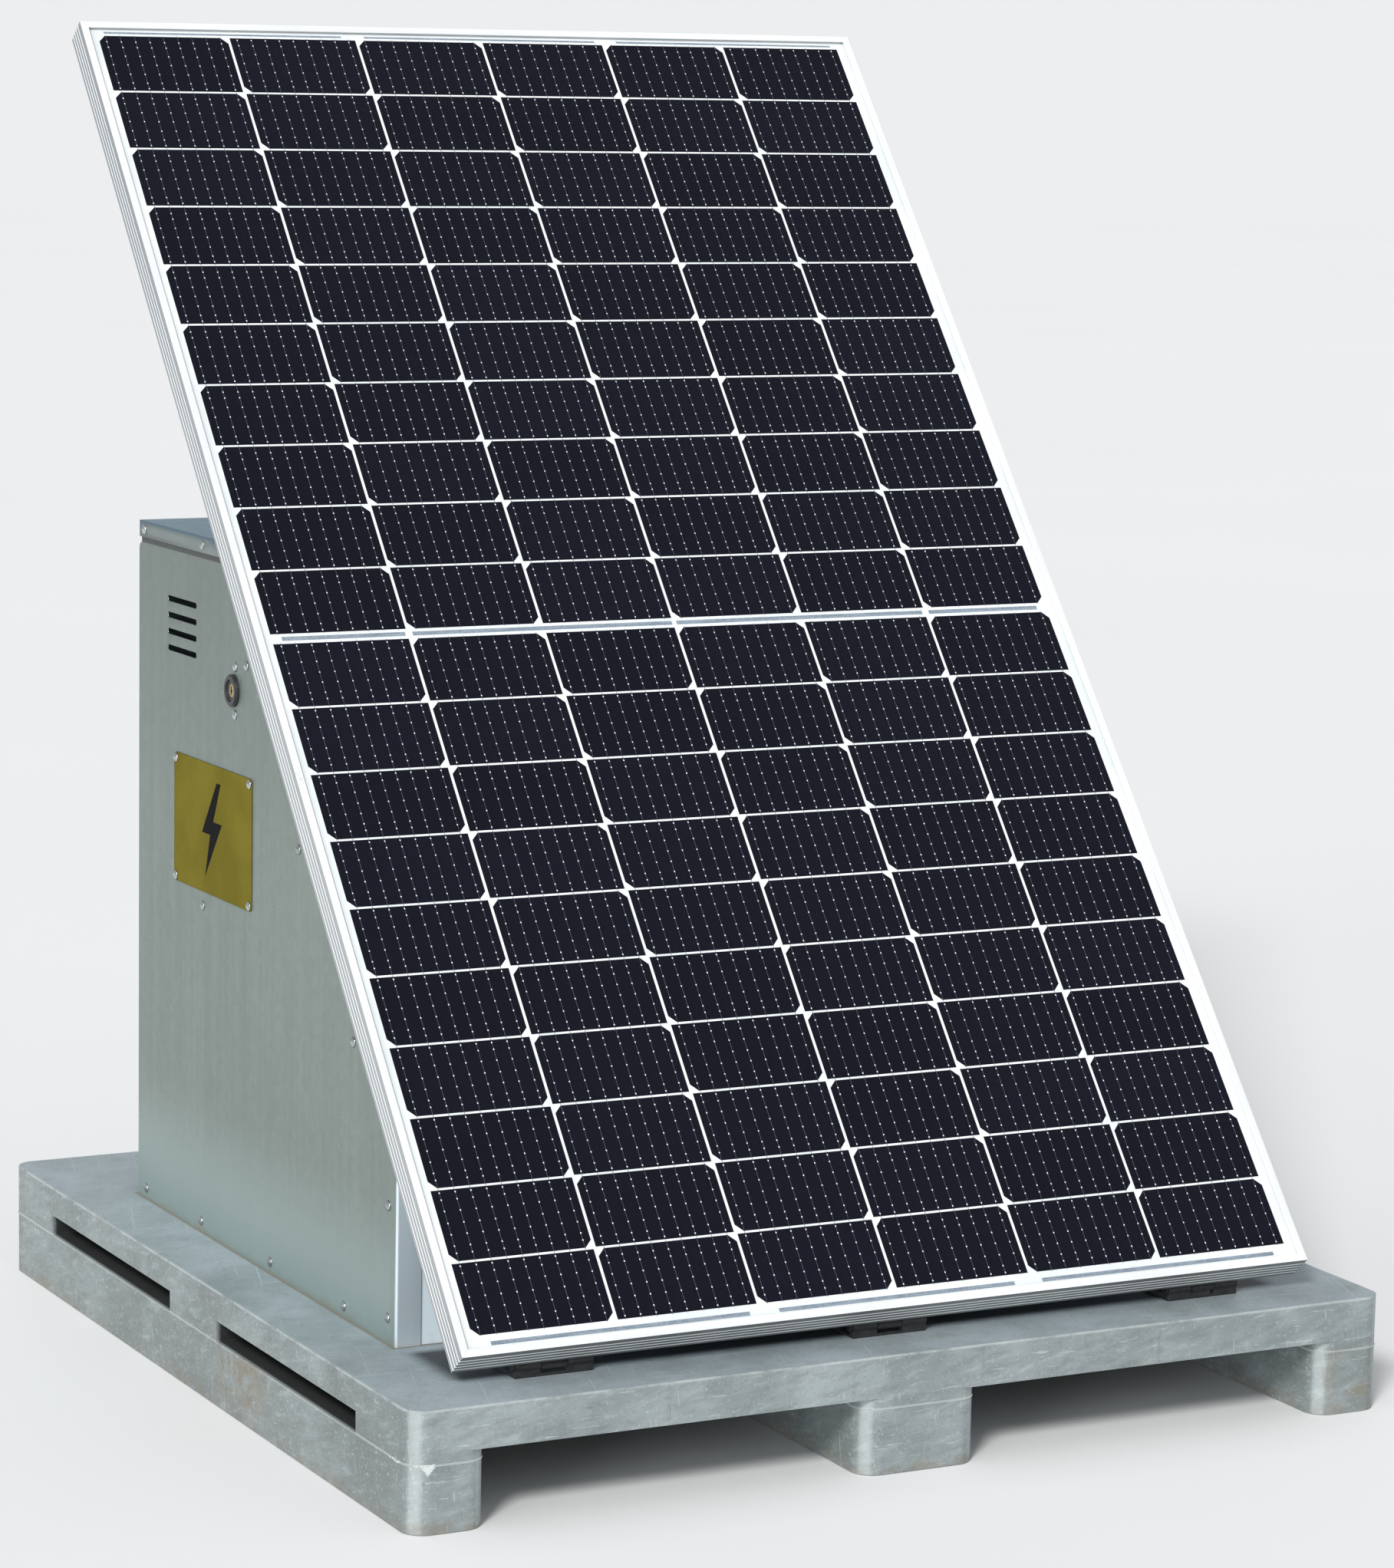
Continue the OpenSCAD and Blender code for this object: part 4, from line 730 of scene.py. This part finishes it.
COLUMNS, HALF_ROWS = 6, 10
CELL_HALF_W = 501.0
COLUMN_PITCH = 167.0
ROW_PITCH = 85.2
END_MARGIN = 23.5
MID_GAP = 10.6
COLUMN_GAP = 3.4
ROW_GAP = 2.6
CHAMFER = 8.5
RIBBONS = 9
DOT_PLACES = (0.11, 0.21, 0.37, 0.53, 0.70, 0.86, 0.96)
RIBBON_HALF_W = 0.22
DOT_HALF_W, DOT_HALF_L = 0.65, 0.8
LAMINATE_TOP = 30.3
CELL_LOW = LAMINATE_TOP + 0.02
CELL_TOP = 30.5
GLASS_LOW, GLASS_TOP = 30.9, 33.4
GLASS_HALF_W, GLASS_MARGIN = 516.2, 2.8

# Bus strips: the lower and upper side, and each strip's left and right end
MIDDLE_U = END_MARGIN + HALF_ROWS * ROW_PITCH + MID_GAP / 2
BUS_STRIPS = (
    (MIDDLE_U - 2.6, MIDDLE_U + 2.6, ((-487.0, -338.0), (-329.0, -3.0), (3.0, 329.0), (338.0, 487.0))),
    (1740.2, 1742.8, ((-491.0, -186.0), (-156.0, 156.0), (186.0, 491.0))),
    (12.2, 16.8, ((-481.0, -180.0), (-145.0, 145.0), (180.0, 481.0))),
)


def cell_boxes():
    """Each cell's left, lower, right and upper side, with whether its chamfers are on top."""
    for half in range(2):
        start = END_MARGIN + half * (HALF_ROWS * ROW_PITCH + MID_GAP)
        for row in range(HALF_ROWS):
            for column in range(COLUMNS):
                x = -CELL_HALF_W + column * COLUMN_PITCH + COLUMN_GAP / 2
                u = start + row * ROW_PITCH + ROW_GAP / 2
                top_cut = (column + half) % 2 == 1
                yield x, u, x + COLUMN_PITCH - COLUMN_GAP, u + ROW_PITCH - ROW_GAP, top_cut


def cell_outline(x0, u0, x1, u1, top_cut):
    """A half cell with two of its four corners cut off."""
    c = CHAMFER
    if top_cut:
        return [(x0, u0), (x1, u0), (x1, u1 - c), (x1 - c, u1), (x0 + c, u1), (x0, u1 - c)]
    return [(x0 + c, u0), (x1 - c, u0), (x1, u0 + c), (x1, u1), (x0, u1), (x0, u0 + c)]


def make_cells(paints):
    draw = random.Random(11)
    cells, ribbons, dots = Shape(), Shape(), Shape()
    for x0, u0, x1, u1, top_cut in cell_boxes():
        cells.prism(cell_outline(x0, u0, x1, u1, top_cut), CELL_LOW, CELL_TOP, draw.random())
        pitch = (x1 - x0) / RIBBONS
        for k in range(RIBBONS):
            x = x0 + pitch * (k + 0.5)
            left, right = x - RIBBON_HALF_W, x + RIBBON_HALF_W
            start, end = u0 - ROW_GAP / 2, u1 + ROW_GAP / 2
            ribbons.box((left, start, CELL_TOP - 0.05), (right, end, CELL_TOP + 0.1))
            for share in DOT_PLACES:
                u = u0 + (u1 - u0) * (1.0 - share if top_cut else share)
                low = (x - DOT_HALF_W, u - DOT_HALF_L, CELL_TOP)
                dots.box(low, (x + DOT_HALF_W, u + DOT_HALF_L, CELL_TOP + 0.18))
    cells.build("solar_cells", paints["silicon"], "panel", "solar_cells", SLOPE)
    ribbons.build("cell_ribbons", paints["ribbon"], "panel", "solar_cells", SLOPE)
    dots.build("solder_dots", paints["solder"], "panel", "solar_cells", SLOPE)


def make_bus_strips(paints):
    strips = Shape()
    for low, high, ends in BUS_STRIPS:
        for x0, x1 in ends:
            strips.box((x0, low, CELL_LOW), (x1, high, CELL_TOP))
    strips.build("bus_strips", paints["bus_metal"], "panel", "solar_cells", SLOPE)


def rounded_outline(half_w, low, high, radius, steps=5):
    """A rectangle with round corners, drawn against the clock from its lower right corner."""
    outline = []
    corners = ((half_w, low, -90), (half_w, high, 0), (-half_w, high, 90), (-half_w, low, 180))
    for x, u, start in corners:
        cx = x - math.copysign(radius, x)
        cu = u + radius if u == low else u - radius
        for k in range(steps + 1):
            a = math.radians(start + 90.0 * k / steps)
            outline.append((cx + radius * math.cos(a), cu + radius * math.sin(a)))
    return outline


def make_glass(paints):
    glass = Shape()
    outline = rounded_outline(GLASS_HALF_W, GLASS_MARGIN, PANEL_LENGTH - GLASS_MARGIN, 1.5)
    glass.prism(outline, GLASS_LOW, GLASS_TOP)
    piece = glass.build("glass_sheet", paints["panel_glass"], "panel", "panel_glass", SLOPE)
    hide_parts("panel_glass")


# ---------------------------------------------------------------- sign, keyway and other marks

MARK_T = 0.2
INK_T = 0.18


def facing_left(x, y, z):
    """Right, up and out of a wall that looks towards -X, from a place in millimetres."""
    place = Vector((x, y, z)) * MM
    turn = Matrix(((0.0, 0.0, -1.0), (-1.0, 0.0, 0.0), (0.0, 1.0, 0.0)))
    return Matrix.Translation(place) @ turn.to_4x4()


def facing_front(x, y, z):
    """Right, up and out of a wall that looks towards -Y, from a place in millimetres."""
    place = Vector((x, y, z)) * MM
    turn = Matrix(((1.0, 0.0, 0.0), (0.0, 0.0, -1.0), (0.0, 1.0, 0.0)))
    return Matrix.Translation(place) @ turn.to_4x4()


def make_sign(paints):
    """A plain lightning bolt."""
    ink = Shape()
    bolt = [(26, 56), (4, 10), (30, 10), (-20, -56), (-5, -6), (-30, -6), (14, 56)]
    ink.prism(bolt, 0.0, INK_T)
    ink.build("sign_symbol", paints["sign_ink"], "base", "sign_yellow", facing_left(-511.5, 158.0, 605.0))


def make_keyway(paints):
    """The key's slot, a black mark of painted shade for its recess, and the tumbler cover on the lock's
    face.
    """
    keyway = Shape()
    keyway.box((-0.9, -4.6, 0.0), (0.9, 4.6, MARK_T))
    keyway.box((-2.0, -1.6, 0.0), (2.0, 0.4, MARK_T))
    keyway.build("lock_keyway", paints["sign_ink"], "lock_core", "brass", facing_left(-512.5, 98.0, 773.0))


def round_outline(x, y, radius, count=28):
    turns = [2.0 * math.pi * k / count for k in range(count)]
    return [(x + radius * math.cos(a), y + radius * math.sin(a)) for a in turns]


def dial_mark(shape, degrees, near, far, half):
    """A short stroke pointing away from the dial's centre."""
    a = math.radians(degrees)
    along, across = Vector((math.cos(a), math.sin(a))), Vector((-math.sin(a), math.cos(a)))
    corners = ((near, -half), (far, -half), (far, half), (near, half))
    shape.prism([tuple(along * r + across * w) for r, w in corners], 0.0, MARK_T)


def make_dial(paints):
    marks = Shape()
    for degrees in (0.0, 45.0, 90.0, 135.0, 180.0):
        dial_mark(marks, degrees, 27.0, 33.0, 0.8)
    place = facing_front(-180.0, 232.0, 620.0)
    marks.build("dial_marks", paints["scar_white"], "base", "energizer_green", place)


def make_display(paints):
    bars = Shape()
    for k in range(5):
        bars.box((-34.0 + 15.0 * k, -14.0, 0.0), (-25.0 + 15.0 * k, -8.0 + 5.0 * k, MARK_T))
    place = facing_front(150.0, 302.0, 622.0)
    bars.build("display_bars", paints["sign_ink"], "base", "display_glass", place)


PLUG_X = (-125.0, -62.0, 1.0, 150.0, 213.0, 276.0)
PLUG_Y, PLUG_R, PLUG_T = 226.0, 13.0, 2.5
BATTERY_TOP = 352.0
MINUS_X, PLUS_X, POLE_Y = -109.0, 291.0, 150.0


def make_battery_top(paints):
    """Filler plugs and polarity marks on the battery's lid."""
    plugs, marks = Shape(), Shape()
    grip = BATTERY_TOP + PLUG_T
    for x in PLUG_X:
        plugs.prism(round_outline(x, PLUG_Y, PLUG_R), BATTERY_TOP, grip)
        plugs.box((x - 8.0, PLUG_Y - 1.0, grip), (x + 8.0, PLUG_Y + 1.0, grip + 1.0))
    low, high = BATTERY_TOP, BATTERY_TOP + 0.3
    for x in (MINUS_X, PLUS_X):
        marks.box((x - 7.0, POLE_Y - 1.5, low), (x + 7.0, POLE_Y + 1.5, high))
    for y0, y1 in ((-7.0, -1.5), (1.5, 7.0)):
        marks.box((PLUS_X - 1.5, POLE_Y + y0, low), (PLUS_X + 1.5, POLE_Y + y1, high))
    plugs.build("battery_plugs", paints["case_black"], "base", "battery_grey")
    marks.build("battery_marks", paints["scar_white"], "base", "battery_grey")


# ---------------------------------------------------------------- pallet

SEAM_FRONT_X = (-303.0, -84.0, 74.0, 297.0)
SEAM_SIDE_Y = (137.0, -408.0)
SEAM_HALF_W = 0.7
FRONT_SEAM_Z = (87.0, 127.0)
SIDE_SEAM_Z = (98.0, 127.0)
FOOT_RADIUS = 25.0
FOOT_CORNER_Y = 575.0
FOOT_CORNER_X = (-570.0, -532.0, -47.0, 47.0, 532.0, 570.0)
FOOT_ENDS_Y = ((-580.0, -466.0), (-64.0, 64.0), (466.0, 580.0))
BEAD_HALF = 0.5


def wobbly_bar(shape, draw, along, length_axis, lows, highs, step, wobble):
    """A thin bar cut in short lengths, each a little thicker or thinner, like a moulding or weld line."""
    at = along[0]
    while at < along[1]:
        end = min(at + step, along[1])
        swell = draw.uniform(-wobble, wobble)
        low, high = list(lows), list(highs)
        low[length_axis], high[length_axis] = at, end
        for axis in range(3):
            if axis != length_axis:
                low[axis] -= swell
                high[axis] += swell
        shape.box(tuple(low), tuple(high))
        at = end


def seam(shape, draw, x_range, y_range, z_range):
    """An upright moulding seam."""
    lows, highs = (x_range[0], y_range[0], 0.0), (x_range[1], y_range[1], 0.0)
    wobbly_bar(shape, draw, z_range, 2, lows, highs, 9.0, 0.25)


def corner_bead(shape, draw, x, y, start):
    """The weld bead's quarter turn round a foot's upright edge, in beads of about 2 mm."""
    for k in range(18):
        angle = math.radians(start + 5.0 * (k + 0.5))
        half = 1.15 + draw.uniform(-0.1, 0.12)
        px = x + (FOOT_RADIUS - 0.75) * math.cos(angle)
        py = y + (FOOT_RADIUS - 0.75) * math.sin(angle)
        rise = 0.55 + draw.uniform(-0.2, 0.25)
        shape.box((px - half, py - half, WELD_Z - rise), (px + half, py + half, WELD_Z + rise))


def make_pallet_lines(paints):
    """Moulding seams on the slab's edges, and the weld bead where the feet meet the deck's necks."""
    draw = random.Random(5)
    lines, bead = Shape(), Shape()
    low_z, high_z = WELD_Z - BEAD_HALF, WELD_Z + BEAD_HALF
    for x in SEAM_FRONT_X:
        width = (x - SEAM_HALF_W, x + SEAM_HALF_W)
        seam(lines, draw, width, (-END_Y - 0.5, 1.0 - END_Y), FRONT_SEAM_Z)
        seam(lines, draw, width, (END_Y - 1.0, END_Y + 0.5), FRONT_SEAM_Z)
    for side in (-1, 1):
        for y in SEAM_SIDE_Y:
            depth = sorted((side * (SIDE_X + 0.5), side * (SIDE_X - 1.0)))
            seam(lines, draw, depth, (y - SEAM_HALF_W, y + SEAM_HALF_W), SIDE_SEAM_Z)
        for ends in FOOT_ENDS_Y:
            low, high = sorted((side * (SIDE_X + 0.6), side * (SIDE_X - 1.0)))
            wobbly_bar(bead, draw, ends, 1, (low, 0.0, low_z), (high, 0.0, high_z), 6.0, 0.35)
    for y in (-END_Y - 0.6, END_Y - 1.0):
        for ends in zip(FOOT_CORNER_X[::2], FOOT_CORNER_X[1::2]):
            wobbly_bar(bead, draw, ends, 0, (0.0, y, low_z), (0.0, y + 1.6, high_z), 6.0, 0.35)
    for k, x in enumerate(FOOT_CORNER_X):
        corner_bead(bead, draw, x, -FOOT_CORNER_Y, 180.0 + 90.0 * (k % 2))
        corner_bead(bead, draw, x, FOOT_CORNER_Y, 90.0 - 90.0 * (k % 2))
    lines.build("pallet_seams", paints["seam_plastic"], "base", "deck_plastic")
    bead.build("weld_beads", paints["seam_plastic"], "base", "runner_plastic")


def make_nicks(paints):
    """A pale gouge at the front left foot's corner, and a few nicks beside it."""
    draw = random.Random(23)
    nicks = Shape()
    for k in range(13):
        angle = math.radians(-88.0 - 3.6 * k)
        px = FOOT_CORNER_X[0] + (FOOT_RADIUS - 0.9) * math.cos(angle)
        py = -FOOT_CORNER_Y + (FOOT_RADIUS - 0.9) * math.sin(angle)
        half = 1.45 + draw.uniform(-0.15, 0.15)
        drop = 9.5 * max(0.0, 1.0 - abs(k - 4) / 4.5) + draw.uniform(0.9, 1.8)
        rise = 1.3 + draw.uniform(0.0, 0.8)
        nicks.box((px - half, py - half, WELD_Z + 0.7 - drop), (px + half, py + half, WELD_Z + rise))
    for k in range(5):
        y = -572.0 + 5.0 * k + draw.uniform(-2.0, 2.0)
        z = WELD_Z - 0.1 + draw.uniform(-1.0, 1.0)
        nicks.box((-SIDE_X - 0.8, y - 2.6, z - 0.8), (1.0 - SIDE_X, y + 2.6, z + 0.9))
    nicks.build("foot_nicks", paints["scar_white"], "base", "runner_plastic")


# ---------------------------------------------------------------- floor and sizes

FLOOR_RADIUS = 40.0
FLOOR_Z = -0.0006


def floor_material():
    p = Paint("floor")
    drift = p.noise(0.6, 3.0, 0.5)
    colour = p.mix(drift, (0.88, 0.885, 0.89), (0.91, 0.912, 0.915))
    return p.finish(colour, p.span(drift, 0.75, 0.85), p.bump(p.noise(90.0), 0.0005, 0.2))


def make_floor():
    outline = [(x, y, FLOOR_Z) for x, y in round_outline(0.0, 0.0, FLOOR_RADIUS, 64)]
    mesh = bpy.data.meshes.new("floor")
    mesh.from_pydata(outline, [], [list(range(len(outline)))])
    mesh.materials.append(floor_material())
    floor = bpy.data.objects.new("floor", mesh)
    bpy.context.scene.collection.objects.link(floor)


make_camera()
make_light()
make_floor()
PAINTS = make_materials()
dress_nodes(PAINTS)
make_cells(PAINTS)
make_bus_strips(PAINTS)
make_glass(PAINTS)
make_sign(PAINTS)
make_keyway(PAINTS)
make_dial(PAINTS)
make_display(PAINTS)
make_battery_top(PAINTS)
make_pallet_lines(PAINTS)
make_nicks(PAINTS)
